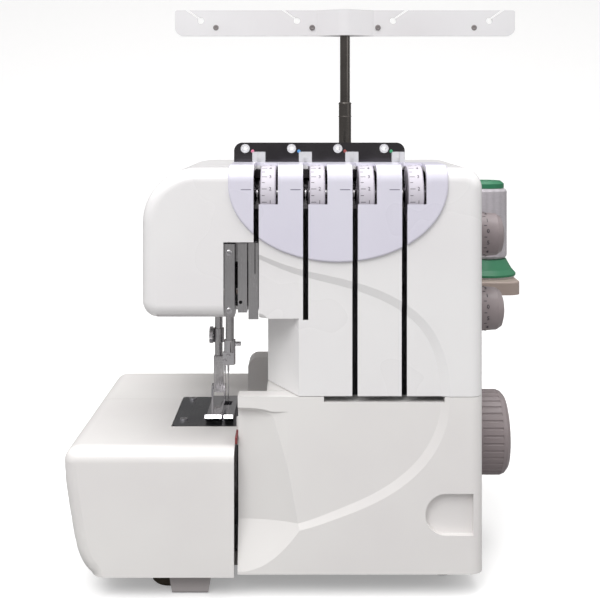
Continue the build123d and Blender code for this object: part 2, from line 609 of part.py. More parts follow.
def looper_posts():
    """Posts on the frame's floor that carry the loopers and guide the upper knife."""
    z0 = PAN_TOP + 4
    y = body_y(LOW_IN)
    posts = rod_y(3.0, y - 6, y + 10, LOW_PIVOT_X, LOW_PIVOT_Z)
    posts += box(LOW_PIVOT_X - 5, LOW_PIVOT_X + 5, y + 5, y + 10, z0, LOW_PIVOT_Z + 5)
    y = body_y(UP_IN)
    posts += box(UP_X - 6, UP_X + 6, y - 6, y + 6, 46, 60)
    posts += box(UP_X - 6, UP_X + 6, y + 4.5, y + 9.0, z0, 60)
    posts -= rod_z(3.0 + RUN, 40, 66, UP_X, y)
    y, x = body_y(KNIFE_IN), KNIFE_X
    posts += box(x + 3.6, x + 9.2, y - 8, y - 4.4, z0, 92)
    posts += box(x + 3.6, x + 9.2, y + 4.4, y + 8, z0, 92)
    posts += box(x + 8.4, x + 10.4, y - 8, y + 8, z0, 92)
    return posts


def make_frame():
    """The cast frame: floor plate, back web, arm, bearing posts and bosses for the two bars."""
    floor = box(-118, 104, body_y(28), body_y(138), PAN_TOP + 0.4, PAN_TOP + 5)
    web = box(-20, 86, body_y(WEB_IN + 12), body_y(WEB_IN + 17), PAN_TOP + 4, 139)
    web += box(-20, 100, body_y(WEB_IN + 12), body_y(WEB_IN + 17), 138, 275)
    arm = box(-96, 100, body_y(WEB_IN), body_y(WEB_IN + 6), 196, 275)
    arm += box(-96, 100, body_y(70), body_y(WEB_IN + 1), 269, 275)
    column = box(-20, -14, body_y(58), body_y(WEB_IN + 13), 138, 270)
    column += box(94, 100, body_y(58), body_y(WEB_IN + 13), 138, 270)
    column += box(-20, 100, body_y(WEB_IN), body_y(WEB_IN + 13), 190, 196)
    frame = floor + web + arm + column + looper_posts()
    for z0, z1 in ((192, 208), (250, 268)):
        for x, d, r in ((NEEDLE_X, NEEDLE_IN, 6.6), (PRESSER_X, PRESSER_IN, 6.0)):
            frame += rod_z(r, z0, z1, x, body_y(d))
            frame += box(x - 4, x + 4, body_y(d), body_y(WEB_IN + 1), z0, z1)
    for x0, x1 in ((-28, -18), (82, 90)):
        frame += box(x0, x1, body_y(SHAFT_IN - 14), body_y(SHAFT_IN + 14), PAN_TOP + 4, SHAFT_Z + 12)
        frame -= rod_x(SHAFT_R + RUN, x0 - 1, x1 + 1, body_y(SHAFT_IN), SHAFT_Z)
    for x, d in ((NPLATE_LEFT + 7, 61.0), (NPLATE_LEFT + 8, 115.0)):
        frame += box(x - 5, x + 5, body_y(d - 5), body_y(d + 5), PAN_TOP + 4, BED_TOP - NPLATE_T - 0.05)
        frame -= rod_z(1.6, BED_TOP - NPLATE_T - 9, BED_TOP, x, body_y(d))
    frame += box(-62, -57.5, body_y(118), body_y(122.5), PAN_TOP + 4, BED_TOP - NPLATE_T - 0.05)
    frame -= rod_z(NEEDLE_BAR_R + RUN, 180, 280, NEEDLE_X, body_y(NEEDLE_IN))
    frame -= rod_z(PRESSER_BAR_R + RUN, 180, 280, PRESSER_X, body_y(PRESSER_IN))
    add("frame_casting", frame)


def make_drive():
    """Main shaft with its cams, handwheel, pulleys, belt and motor."""
    y, z = body_y(SHAFT_IN), SHAFT_Z
    shaft = rod_x(SHAFT_R, -34, WHEEL_RIGHT - 10, y, z)
    for x0, turn in ((-8, 40), (22, 160), (52, 280)):
        centre_y, centre_z = y + 3 * cos(radians(turn)), z + 3 * sin(radians(turn))
        shaft += rod_x(13, x0, x0 + 8, centre_y, centre_z)
    add("main_shaft", shaft)
    r = WHEEL_R
    wheel = turned_x([(WHEEL_LEFT, 0), (WHEEL_LEFT, r - 7), (WHEEL_LEFT + 2, r - 5), (WHEEL_LEFT + 4, r - 2),
                      (WHEEL_LEFT + 7, r), (WHEEL_RIGHT - 6, r), (WHEEL_RIGHT - 3, r - 1.2),
                      (WHEEL_RIGHT - 0.6, r - 4), (WHEEL_RIGHT, r - 7), (WHEEL_RIGHT - 3, r - 11),
                      (WHEEL_RIGHT - 5, 0)], y, z)
    for k in range(36):
        a = radians(k * 10)
        wheel -= rod_x(1.1, WHEEL_LEFT + 8, WHEEL_RIGHT - 6, y + (r + 0.4) * cos(a), z + (r + 0.4) * sin(a))
    wheel -= rod_x(SHAFT_R, WHEEL_LEFT - 1, WHEEL_RIGHT - 10, y, z)
    add("handwheel", wheel)
    left, right = BELT_X - BELT_W / 2, BELT_X + BELT_W / 2
    rim = 1.6
    my, mz = body_y(MOTOR_IN), MOTOR_Z

    def pulley(radius, bore, py, pz):
        body = turned_x([(left - rim, 0), (left - rim, radius + 2), (left - 0.3, radius + 2),
                         (left - 0.3, radius), (right + 0.3, radius), (right + 0.3, radius + 2),
                         (right + rim, radius + 2), (right + rim, 0)], py, pz)
        return body - rod_x(bore, left - 5, right + 5, py, pz)

    add("shaft_pulley", pulley(BIG_PULLEY_R, SHAFT_R, y, z))
    add("motor_pulley", pulley(SMALL_PULLEY_R, 1.0, my, mz) + rod_x(2.5, MOTOR_LEFT + 48, BELT_X + 6, my, mz))
    big, small = BIG_PULLEY_R + 0.3, SMALL_PULLEY_R + 0.3
    thick = 1.6

    def loop(grow):
        a, b = Vector(y, z), Vector(my, mz)
        axis = b - a
        span = axis.length
        tilt = (big - small) / span
        u = axis.normalized()
        n = Vector(-u.Y, u.X)
        rest = sqrt(1 - tilt * tilt)
        sides = []
        for sign in (1, -1):
            d = u * tilt + n * (rest * sign)
            sides.append((a + d * (big + grow), b + d * (small + grow)))
        far_a = a - u * (big + grow)
        far_b = b + u * (small + grow)
        (p0, p1), (q0, q1) = sides
        return make_face([Line(p0, p1), ThreePointArc(p1, far_b, q1), Line(q1, q0), ThreePointArc(q0, far_a, p0)])

    add("drive_belt", side_shape(loop(thick), left, right) - side_shape(loop(0), left - 1, right + 1))
    m = MOTOR_LEFT
    motor = turned_x([(m, 0), (m, MOTOR_R - 4), (m + 3, MOTOR_R), (m + 43, MOTOR_R), (m + 46, MOTOR_R - 4),
                      (m + 46, 7), (m + 48.5, 7), (m + 48.5, 0)], my, mz)
    motor += box(m + 6, m + 40, my - 15, my + 15, PAN_TOP + 5.05, mz - MOTOR_R + 6)
    motor -= rod_x(2.55, m + 42, m + 52, my, mz)
    add("motor", motor)


# ---------------------------------------------------------------- sewing parts
def make_needle_parts():
    """Needle plate, needle bar, clamp and needles, presser bar, shank and foot."""
    x0, x1 = NPLATE_LEFT, NPLATE_RIGHT
    y0, y1 = body_y(NPLATE_FRONT_IN), body_y(NPLATE_BACK_IN)
    ny, py = body_y(NEEDLE_IN), body_y(PRESSER_IN)
    plate = plan_shape(outline([(x0, y0, 6), (x1, y0, 1), (x1, y1, 1), (x0, y1, 3)]),
                       BED_TOP - NPLATE_T, BED_TOP)
    for x in [NEEDLE_X + shift for shift in DOG_SHIFTS]:
        plate -= box(x - 1.1, x + 1.1, ny - 12, ny + 14, BED_TOP - 5, BED_TOP + 1)
    plate -= box(NEEDLE_X - 4.8, NEEDLE_X + 0.4, ny - 2.6, ny + 0.6, BED_TOP - 5, BED_TOP + 1)
    screws = [(NPLATE_LEFT + 7, body_y(61.0)), (NPLATE_LEFT + 8, body_y(115.0))]
    for x, y in screws:
        plate -= rod_z(1.6, BED_TOP - 5, BED_TOP + 1, x, y)
    add("needle_plate", plate)
    add("needle_plate_screws", joined([screw_z(x, y, BED_TOP + 1.6, 2.9, 1.55, 7.5, 1.45) for x, y in screws]))
    dogs = box(NEEDLE_X - 12, NEEDLE_X + 6, ny - 16, ny + 18, BED_TOP - 9, BED_TOP - 5.5)
    for x in [NEEDLE_X + shift for shift in DOG_SHIFTS]:
        bar = box(x - 0.75, x + 0.75, ny - 9, ny + 11, BED_TOP - 6, BED_TOP - 0.3)
        for k in range(12):
            cut_y = ny - 8.4 + k * 1.66
            bar -= Pos(x, cut_y, BED_TOP - 0.3) * Rot(45, 0, 0) * Box(3, 0.5, 0.5)
        dogs += bar
    dogs -= box(NEEDLE_X - 5.2, NEEDLE_X + 0.8, ny - 5, ny + 3, BED_TOP - 10, BED_TOP)
    add("feed_dogs", dogs)

    r = NEEDLE_BAR_R
    add("needle_bar", rod_z(r, 147, 262, NEEDLE_X, ny))
    clamp = rod_z(4.4, 133.5, 152, NEEDLE_X, ny) + box(NEEDLE_X - 5.0, NEEDLE_X + 3.5, ny - 4.6, ny + 2.0, 133.5, 143)
    clamp -= rod_z(r, 147, 160, NEEDLE_X, ny)
    needle_x = [NEEDLE_X - NEEDLE_LEFT - NEEDLE_GAP / 2, NEEDLE_X - NEEDLE_LEFT + NEEDLE_GAP / 2]
    for x in needle_x:
        clamp -= rod_z(0.82, 130, 146, x, ny - 1.2)
    for x, z in ((needle_x[0], 136.5), (needle_x[1], 140.5)):
        clamp += rod_y(1.5, ny - 7.2, ny - 4.5, x, z)
        clamp -= box(x - 0.25, x + 0.25, ny - 8, ny - 6.5, z - 2, z + 2)
    clamp += rod_x(1.6, NEEDLE_X + 4.0, NEEDLE_X + 8.5, ny, 149)
    clamp -= box(NEEDLE_X + 7.6, NEEDLE_X + 9, ny - 2, ny + 2, 148.7, 149.3)
    add("needle_clamp", clamp)
    needles = [turned_z([(0, 100.2), (0.28, 102.5), (NEEDLE_R - 0.1, 106), (NEEDLE_R - 0.1, 127), (0.8, 129),
                         (0.8, 145), (0, 145)], x, ny - 1.2) for x in needle_x]
    needles = [n - rod_y(0.2, ny - 4, ny + 2, x, 105.5) for n, x in zip(needles, needle_x)]
    add("needles", joined(needles))

    r = PRESSER_BAR_R
    bar = rod_z(r, 128, 275, PRESSER_X, py)
    bar += rod_z(5.6, 215, 224, PRESSER_X, py)
    bar += box(PRESSER_X - 3, PRESSER_X + 3, py + 3.5, py + 12, 215, 219)
    bar += rod_z(4.2, 149, 159.5, PRESSER_X, py)
    bar -= rod_x(1.42, PRESSER_X - 8, PRESSER_X - 2.9, py, 154.2)
    add("presser_bar", bar)
    shank = box(PRESSER_X - 3.6, PRESSER_X + 3.6, py - 4.2, py + 4.2, 110.5, 139)
    shank = fillet(edges_where(shank, lambda p: abs(p.Z - 139) < 0.1), 1.2)
    shank -= rod_z(r, 128, 145, PRESSER_X, py)
    shank -= box(PRESSER_X - 5, PRESSER_X + 5, py - 6, py - 1.5, 105, 124)
    thumb = rod_x(6.4, PRESSER_X - 6.9, PRESSER_X - 4.3, py, 154.2)
    thumb += rod_x(1.4, PRESSER_X - 4.4, PRESSER_X - 3.05, py, 154.2)
    for k in range(20):
        a = radians(k * 18)
        thumb -= rod_x(0.5, PRESSER_X - 8, PRESSER_X - 4.2, py + 6.6 * cos(a), 154.2 + 6.6 * sin(a))
    shank += rod_x(1.2, PRESSER_X - 5.4, PRESSER_X + 5.4, py + 1.5, 113.5)
    add("presser_shank", shank)
    add("thumb_screw", thumb)

    fx0, fx1 = PRESSER_X - 5.5, NEEDLE_X + 5.5
    fy0, fy1 = body_y(NPLATE_FRONT_IN + 1), py + 11
    sole = box(fx0, fx1, fy0 + 9, fy1, BED_TOP + 0.4, BED_TOP + 3.2)
    toe = side_shape(make_face(Polyline((fy0, BED_TOP + 5.2), (fy0 + 9.05, BED_TOP + 0.4), (fy0 + 9.05, BED_TOP + 3.2),
                                        (fy0 + 1.4, BED_TOP + 7.4), close=True)), fx0, fx1)
    foot = sole + toe
    foot -= box(NEEDLE_X - 6.0, NEEDLE_X + 2.0, ny - 8, ny + 2.6, BED_TOP - 1, BED_TOP + 9)
    foot -= box(NEEDLE_X - 2.6, NEEDLE_X - 0.9, fy0 - 2, ny - 20, BED_TOP - 1, BED_TOP + 9)
    for x in (PRESSER_X - 5.4, PRESSER_X + 4.0):
        foot += box(x, x + 1.4, py - 2.4, py + 5.4, BED_TOP + 3, 115.5)
        foot -= rod_x(1.2 + RUN, x - 1, x + 3, py + 1.5, 113.5)
    foot += box(NEEDLE_X - 4.6, NEEDLE_X - 3.2, fy0 + 12, ny - 4, BED_TOP + 3, BED_TOP + 6.4)
    add("presser_foot", foot)


LIFTER_Z = 203.0


def make_lifter():
    """Presser foot lifting lever at the back of the head, on its pivot pin."""
    y, z = body_y(WEB_IN + 12.5), LIFTER_Z
    x = PRESSER_X
    pin = rod_x(2.0, x - 12, x + 12, y, z)
    cheeks = box(x - 11.5, x - 8.5, body_y(WEB_IN + 6.05), y + 5, z - 6, z + 6)
    cheeks += box(x + 8.5, x + 11.5, body_y(WEB_IN + 6.05), y + 5, z - 6, z + 6)
    add("lifter_bracket", cheeks + pin)
    lever = rod_x(5.0, x - 4, x + 4, y, z)
    lever += box(x - 4, x + 4, y, BODY_BACK + 26, z - 3, z + 2)
    lever += box(x - 8, x + 8, BODY_BACK + 14, BODY_BACK + 34, z - 3, z + 2)
    tip = edges_where(lever, lambda p: abs(p.Y - BODY_BACK - 34) < 0.1 and abs(abs(p.X - x) - 8) < 0.1)
    lever = fillet(tip, 6.0)
    lever -= rod_x(2.0 + RUN, x - 10, x + 10, y, z)
    add("presser_lifter", lever)


def make_loopers():
    """Upper and lower loopers, their carriers, the knives and the small red release knob."""
    ny = body_y(NEEDLE_IN)
    low_y, pivot_z, px = body_y(LOW_IN), LOW_PIVOT_Z, LOW_PIVOT_X
    arm = rod_y(6.0, low_y - 4, low_y + 4, px, pivot_z)
    arm += front_shape(make_face(Polyline((px - 4, pivot_z), (px + 4, pivot_z), (px + 1.5, pivot_z + 36), (px - 3, pivot_z + 36), close=True)),
                       low_y - 2, low_y + 2)
    h = pivot_z + 31
    blade = front_shape(make_face(Polyline((px + 1.5, h), (px + 1.5, h + 5.5), (px - 12, h + 11), (px - 30, h + 12.2),
                                           (px - 12, h + 8), (px - 4, h + 3.5), (px - 3, h), close=True)),
                        low_y - 1.2, low_y + 1.2)
    lower = arm + blade - rod_y(3.0 + RUN, low_y - 6, low_y + 6, px, pivot_z)
    add("lower_looper", lower)

    up_y, slide_x = body_y(UP_IN), UP_X
    rod = rod_z(3.0, 30, 78, slide_x, up_y)
    upper = rod + front_shape(make_face(Polyline((slide_x - 2.6, 70), (slide_x + 2.6, 70), (slide_x + 2, 78),
                                                 (slide_x - 7, 84.5), (slide_x - 13.5, 86.5), (slide_x - 6, 81.5),
                                                 close=True)), up_y - 1.3, up_y + 1.3)
    add("upper_looper", upper)

    kx, ky = KNIFE_X, body_y(KNIFE_IN)
    knife = box(kx, kx + 1.6, ky - 5, ky + 5, 84, 108)
    knife -= Pos(kx + 0.8, ky - 5, 84) * Rot(30, 0, 0) * Box(4, 18, 8)
    knife += box(kx + 1.6, kx + 8, ky - 4, ky + 4, 98, 104)
    knife += box(kx + 4.8, kx + 8, ky - 4, ky + 4, 70, 104)
    add("upper_knife", knife)
    lower_knife = box(kx - 2.9, kx - 0.4, ky - 6, ky + 6, 82, BED_TOP - NPLATE_T - 0.4)
    lower_knife += box(kx - 5.4, kx - 2.9, ky - 6, ky + 6, PAN_TOP + 5.05, 90)
    add("lower_knife", lower_knife)

    x0, x1 = PLATE_RIGHT + KNOB_GAP, LOOPER_LEFT - KNOB_GAP
    tail = body_y(WALL_IN + WALL_T + 0.3)
    knob = box(x0, x1, body_y(2), tail + 1.6, KNOB_Z - KNOB_HALF, KNOB_Z + KNOB_HALF)
    knob = fillet(edges_where(knob, lambda p: p.Y < body_y(2.1)), 0.5)
    add("release_knob", knob + box(x0, x1 + 4, tail, tail + 1.6, KNOB_Z - KNOB_HALF, KNOB_Z + KNOB_HALF))


# ---------------------------------------------------------------- tensions and guides
def make_tensions():
    """Four tension dials turning on axles across the head, with pressing discs beside them."""
    y, z = body_y(DIAL_AXIS_IN), DIAL_AXIS_Z
    axle_from, axle_to = GUIDE_LEFT, SLOT_X[3] + 24
    brackets, discs = [], []
    for i, x in enumerate(SLOT_X):
        left = dial_left(i)
        right = left + DIAL_W
        dial = turned_x([(left, 0), (left, DIAL_R - 0.8), (left + 0.8, DIAL_R), (right - 0.8, DIAL_R),
                         (right, DIAL_R - 0.8), (right, 0)], y, z)
        dial -= rod_x(DIAL_BORE_R + RUN, left - 1, right + 1, y, z)
        add("tension_dial_%d" % (i + 1), dial)
        disc = turned_x([(x + 0.3, DIAL_BORE_R + 0.03), (x + 1.4, DIAL_BORE_R + 0.03), (x + 2.2, 9), (x + 1.6, 9.2),
                         (x + 0.3, 4)], y, z)
        disc += turned_x([(x - 0.3, DIAL_BORE_R + 0.03), (x - 0.3, 4), (x - 1.6, 9.2), (x - 2.2, 9),
                          (x - 1.4, DIAL_BORE_R + 0.03)], y, z)
        discs.append(disc)
        brackets.append(box(x - 8, x - 5, y - 6, body_y(38.5), z - 7, z + 5))
    add("tension_discs", joined(discs))
    bar = box(axle_from + 6, axle_to, body_y(38.2), body_y(40.2), z - 12, z + 5)
    bar += box(axle_to - 3, axle_to, y - 6, body_y(38.5), z - 7, z + 5)
    for b in brackets:
        bar += b
    bar += rod_x(DIAL_BORE_R, SLOT_X[0] - 8, axle_to, y, z)
    add("tension_bracket", bar)


EYE_XS = [x - 9.9 for x in SLOT_X]


def make_guide_plate():
    """Metal plate standing on top of the body, with clear thread guides and threading colour dots."""
    y0 = body_y(GUIDE_IN)
    y1 = y0 + SHEET
    plate = front_shape(outline([
        (GUIDE_LEFT, BODY_TOP - 8, 0), (GUIDE_LEFT, GUIDE_TOP, 6), (GUIDE_RIGHT, GUIDE_TOP, 6),
        (GUIDE_RIGHT, BODY_TOP - 8, 0)]), y0, y1)
    foot = box(GUIDE_LEFT, GUIDE_RIGHT, y0, y0 + 10, BODY_TOP - 9.2, BODY_TOP - 8)
    plate += foot
    for x in EYE_XS:
        plate -= rod_y(1.9, y0 - 2, y1 + 2, x, 299.8)
    for x in SLOT_X:
        plate -= box(x - 1.0, x + 1.0, y0 - 2, y1 + 2, 293, 296)
    add("guide_plate", plate)
    eyes = [rod_y(3.2, y0 - 2.4, y0 - 0.05, x, 299.8) + rod_y(1.85, y0 - 0.05, y1, x, 299.8)
            - rod_y(1.1, y0 - 4, y1 + 2, x, 299.8) for x in EYE_XS]
    clips = []
    for x in SLOT_X:
        clip = box(x - 4.6, x + 4.6, y0 - 6.2, y0 - 0.05, BODY_TOP + PANEL_T + 0.1, 297.5)
        clip -= box(x - 1.0, x + 1.0, y0 - 8, y0 - 2.4, 285, 299)
        clip += box(x - 0.95, x + 0.95, y0 - 1, y1, 293.1, 295.9)
        clips.append(clip)
    add("clear_thread_guides", joined(eyes + clips))


def make_side_controls():
    """Stitch length and differential feed dials, and the inlet with the power switch, on the right side."""
    y, r, x0 = body_y(SETTING_IN), SETTING_R, BODY_RIGHT
    for name, z in (("stitch_dial", STITCH_Z), ("feed_dial", FEED_Z)):
        dial = turned_x([(x0 + 3.0, 0), (x0 + 3.0, r), (x0 + 19, r - 1.2), (x0 + 22.5, r - 3.5),
                         (x0 + 24, r - 8), (x0 + 24.3, 0)], y, z)
        for k in range(28):
            a = radians(k * 360 / 28)
            dial -= rod_x(0.8, x0 + 16, x0 + 25, y + (r + 0.05) * cos(a), z + (r + 0.05) * sin(a))
        add(name, dial + rod_x(DIAL_BORE_R, x0 - 9, x0 + 3.2, y, z))
    (sy0, sy1), (sz0, sz1) = INLET_Y, INLET_Z
    socket = box(x0 - 20, x0, sy0 + 0.1, sy1 - 0.1, sz0 + 0.1, sz1 - 0.1)
    socket += box(x0, x0 + 1.6, sy0 - 2.5, sy1 + 2.5, sz0 - 2.5, sz1 + 2.5)
    socket -= box(x0 - 14, x0 + 3, sy0 + 3.5, sy1 - 3.5, sz0 + 3.5, sz1 - 3.5)
    cy, cz = (sy0 + sy1) / 2, (sz0 + sz1) / 2
    for dy in (-4.5, 4.5):
        socket += rod_x(1.2, x0 - 14.5, x0 - 3, cy + dy, cz)
    (wy0, wy1), (wz0, wz1) = SWITCH_Y, SWITCH_Z
    cy, cz = (wy0 + wy1) / 2, (wz0 + wz1) / 2
    frame = box(x0, x0 + 1.4, wy0 - 2, wy1 + 2, sz1, wz1 + 2)
    frame += box(x0 - 14, x0 + 0.5, wy0 + 0.1, wy1 - 0.1, wz0 + 0.1, wz1 - 0.1)
    frame -= box(x0 - 12.5, x0 + 3, wy0 + 1.5, wy1 - 1.5, wz0 + 1.5, wz1 - 1.5)
    pin_x = x0 - 3.0
    frame += rod_y(1.0, wy0 + 1.0, wy1 - 1.0, pin_x, cz)
    add("inlet_and_switch_frame", socket + frame)
    half = (wz1 - wz0) / 2 - 2.9
    rocker = front_shape(make_face(Polyline(
        (pin_x - 3, cz - 3), (pin_x + 2.6, cz - half), (x0 + 4.6, cz - half), (x0 + 2.6, cz), (x0 + 1.2, cz + half),
        (pin_x + 1.5, cz + half), (pin_x - 3, cz + 3), close=True)), wy0 + 1.9, wy1 - 1.9)
    rocker -= rod_y(1.0 + RUN, wy0, wy1, pin_x, cz)
    add("power_switch", rocker)


# ---------------------------------------------------------------- spools and mast
def make_tray():
    """Tray for four spools on its bracket at the back, with pins, cushions and one loaded spool."""
    x0, x1 = TRAY_X - TRAY_HALF_W, TRAY_X + TRAY_HALF_W
    y0, y1 = body_y(TRAY_FRONT_IN), TRAY_BACK
    z0, z1 = TRAY_BOTTOM, TRAY_TOP
    tray = plan_shape(outline([(x0, y0, 10), (x1, y0, 10), (x1, y1, 22), (x0, y1, 22)]), z0, z1)
    tray = fillet(edges_where(tray, lambda p: p.Z > z1 - 0.01), 1.6)
    tray -= plan_shape(outline([(x0 + 2.4, y0 + 2.4, 7.6), (x1 - 2.4, y0 + 2.4, 7.6),
                                (x1 - 2.4, y1 - 2.4, 19.6), (x0 + 2.4, y1 - 2.4, 19.6)]), z0 - 1, z1 - 2.6)
    py = body_y(PIN_IN)
    for x in PIN_X:
        tray += rod_z(8, z0 + 1.5, z1 - 2.5, x, py)
        tray -= turned_z([(25.5, z1 + 1), (25.5, z1 - 1.2), (27.0, z1 - 1.2), (27.0, z1 + 1)], x, py)
        tray -= rod_z(PIN_R - 0.6, z0, z1 + 1, x, py)
    tray += rod_z(11, z0 + 1.5, z1 - 2.5, TRAY_X, py)
    tray += box(TRAY_X - 22, TRAY_X + 22, y0 + 1, py, z0 + 1.0, z1 - 2.5)
    tray -= rod_z(MAST_TUBE_R, z0 - 1, z1 + 5, TRAY_X, py)
    for dx in (-14, 14):
        tray -= rod_z(1.6, z0 - 1, z0 + 7, TRAY_X + dx, y0 + 12)
    add("spool_tray", tray)
    pins = [turned_z([(0, z0 + 2.5), (PIN_R - 0.62, z0 + 2.5), (PIN_R - 0.62, z1 + 0.05), (PIN_R + 2.5, z1 + 0.05),
                      (PIN_R + 1.0, z1 + 2.2), (PIN_R, z1 + 3), (PIN_R, z1 + PIN_TALL - 3),
                      (PIN_R - 1.6, z1 + PIN_TALL), (0, z1 + PIN_TALL)], x, py) for x in PIN_X]
    add("spool_pins", joined(pins))
    bracket = box(TRAY_X - 22, TRAY_X + 22, BODY_BACK + 0.05, BODY_BACK + 2.5, 145, z0 - 0.05)
    bracket += box(TRAY_X - 22, TRAY_X + 22, BODY_BACK + 0.05, py + 14, z0 - 2.5, z0 - 0.05)
    for dx in (-20.8, 20.8):
        gusset = side_shape(make_face(Polyline((BODY_BACK + 1, z0 - 2), (py + 8, z0 - 2), (BODY_BACK + 1, 150), close=True)),
                            TRAY_X + dx - 1.2, TRAY_X + dx + 1.2)
        bracket += gusset
    bracket += rod_z(9, z0 - 22, z0 - 2, TRAY_X, py)
    bracket -= rod_z(MAST_TUBE_R, z0 - 18, z0 + 1, TRAY_X, py)
    for x, z in BRACKET_HOLES:
        bracket -= rod_y(1.9, BODY_BACK - 2, BODY_BACK + 5, x, z)
    for dx in (-14, 14):
        bracket -= rod_z(1.6, z0 - 5, z0 + 2, TRAY_X + dx, y0 + 12)
    add("tray_bracket", bracket)
    fixings = [screw_back(x, BODY_BACK + 2.55, z, 3.2, 1.8, 6.0, 1.85) for x, z in BRACKET_HOLES]
    fixings += [screw_back(x, BODY_BACK + 0.05, z, 3.0, 1.6, 4.0, 1.85) for x, z in REAR_SCREWS]
    add("rear_screws", joined(fixings))


SPOOL_BASE, SPOOL_R = 1.4, 17.8


def make_spool():
    """One loaded cone spool on the right-hand pin, with its core, thread and top cap."""
    x, y, z = PIN_X[3], body_y(PIN_IN), TRAY_TOP
    pad = turned_z([(PIN_R + 3.2, z + 0.05), (24.0, z + 0.05), (24.0, z + 1.2), (PIN_R + 3.2, z + 1.2)], x, y)
    add("spool_cushions", joined([pad] + [turned_z([(PIN_R + 3.2, z + 0.05), (24.0, z + 0.05), (24.0, z + 1.2),
                                                     (PIN_R + 3.2, z + 1.2)], px, y) for px in PIN_X[:3]]))
    base = z + SPOOL_BASE
    top = z + 74.8
    core = turned_z([(PIN_R + 3.0, base), (25.0, base), (25.0, base + 1.6), (21.5, base + 5.5), (17.0, base + 13.5),
                     (15.0, base + 13.6), (15.0, top + 0.2), (15.3, top + 0.2), (15.3, top + 3.7), (12.5, top + 6.0),
                     (5.0, top + 6.0), (PIN_R + 0.5, top + 4.2), (PIN_R + 0.5, base + 20)], x, y)
    add("spool_core", core)
    wound = turned_z([(15.05, base + 13.8), (SPOOL_R - 0.6, base + 13.8), (SPOOL_R, base + 15), (SPOOL_R, z + 73.6),
                      (SPOOL_R - 0.8, z + 74.8), (15.05, z + 74.8)], x, y)
    add("spool_thread", wound)


def make_mast():
    """Two-part mast behind the body and the thread guide bar on top of it."""
    x, y = TRAY_X, body_y(PIN_IN)
    tube = rod_z(MAST_TUBE_R - 0.02, TRAY_BOTTOM - 17.9, MAST_TUBE_TOP, x, y)
    tube -= rod_z(MAST_ROD_R + RUN, TRAY_BOTTOM - 10, MAST_TUBE_TOP + 1, x, y)
    tube = fillet(edges_where(tube, lambda p: p.Z > MAST_TUBE_TOP - 0.1 and abs((p - Vector(x, y, p.Z)).length)
                              > MAST_ROD_R + 0.4), 0.6)
    add("mast_tube", tube)
    rod = rod_z(MAST_ROD_R, MAST_TUBE_TOP - 100, BAR_BOTTOM + 6.9, x, y)
    add("mast_rod", rod)
    z0, z1 = BAR_BOTTOM, BAR_TOP
    y0, y1 = y - BAR_T / 2, y + BAR_T / 2
    bar = front_shape(outline([(x - BAR_HALF_W, z0, 7), (x + BAR_HALF_W, z0, 7), (x + BAR_HALF_W, z1, 2),
                               (x - BAR_HALF_W, z1, 2)]), y0, y1)
    hub = plan_shape(outline([(x - 25, y0 + 0.2, 3), (x, y - 13, 14), (x + 25, y0 + 0.2, 3), (x + 25, y1, 0),
                              (x, y + 9, 8), (x - 25, y1, 0)]), z0, z1)
    bar += hub
    bar -= rod_z(MAST_ROD_R + RUN, z0 - 1, z0 + 7, x, y)
    for i, ex in enumerate(EYELET_X):
        side = -1 if i < 2 else 1
        bar -= rod_y(2.6, y0 - 3, y1 + 3, ex, 404.5)
        slot = make_face(Polyline((ex - 1.0, 405.5), (ex + 1.0, 405.5), (ex + side * 13 + 1.4, z1 + 1),
                                  (ex + side * 13 - 1.4, z1 + 1), close=True))
        bar -= front_shape(slot, y0 - 3, y1 + 3)
        hole_x = ex + side * -13
        bar -= rod_y(1.3, y0 - 3, y1 + 3, hole_x, 398.6)
    add("thread_guide_bar", bar)


def make_head_parts():
    """Thread take-up guides in the head's opening, and the sewing lamp under the head."""
    z0, z1 = HEAD_BOTTOM + 1.0, RECESS_TOP - 1.5
    cover = box(RECESS_LEFT + 0.4, -56.2, body_y(3.2), body_y(4.4), z0, z1)
    cover += box(-57.4, -56.2, body_y(3.2), body_y(20), z0, z1)
    guide = box(-54.2, -48.0, body_y(7.0), body_y(8.2), z0 + 2, z1)
    guide += box(-49.2, -48.0, body_y(7.0), body_y(24), z0 + 2, z1)
    guide -= rod_y(1.2, body_y(6), body_y(9), -52.4, z0 + 9)
    guide += box(-57.4, -40.4, body_y(18.8), body_y(20), z1 - 14, z1)
    guide += box(-47.2, -40.4, body_y(9.0), body_y(10.2), z0 - 3, z1)
    guide += box(-41.6, -40.4, body_y(9.0), body_y(20), z0 + 4, z1)
    guide -= box(-43.0, -42.4, body_y(8), body_y(12), z0 + 28, z1 + 1)
    add("take_up_cover", cover + guide)
    shade = box(-105.6, -84.4, body_y(16.4), body_y(49.6), HEAD_BOTTOM - 1.2, HEAD_BOTTOM + WALL)
    shade = fillet(edges_where(shade, lambda p: p.Z < HEAD_BOTTOM - 1), 1.0)
    add("lamp_lens", shade)


make_casings()
make_bed()
make_looper_cover()
make_lower_housing()
make_base()
make_frame()
make_drive()
make_needle_parts()
make_lifter()
make_loopers()
make_tensions()
make_guide_plate()
make_side_controls()
make_tray()
make_spool()
make_mast()
make_head_parts()

os.makedirs("parts", exist_ok=True)
for name, shape in PARTS.items():
    shape.label = name
    export_step(shape, "parts/%s.step" % name)
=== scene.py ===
"""Looks of a home overlock machine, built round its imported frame.

Every length is in metres in the frame's own axes: X to the right, Y towards the back, Z up.
"""

import logging
import math
from dataclasses import dataclass
from enum import Enum
from typing import Callable, Optional, Sequence

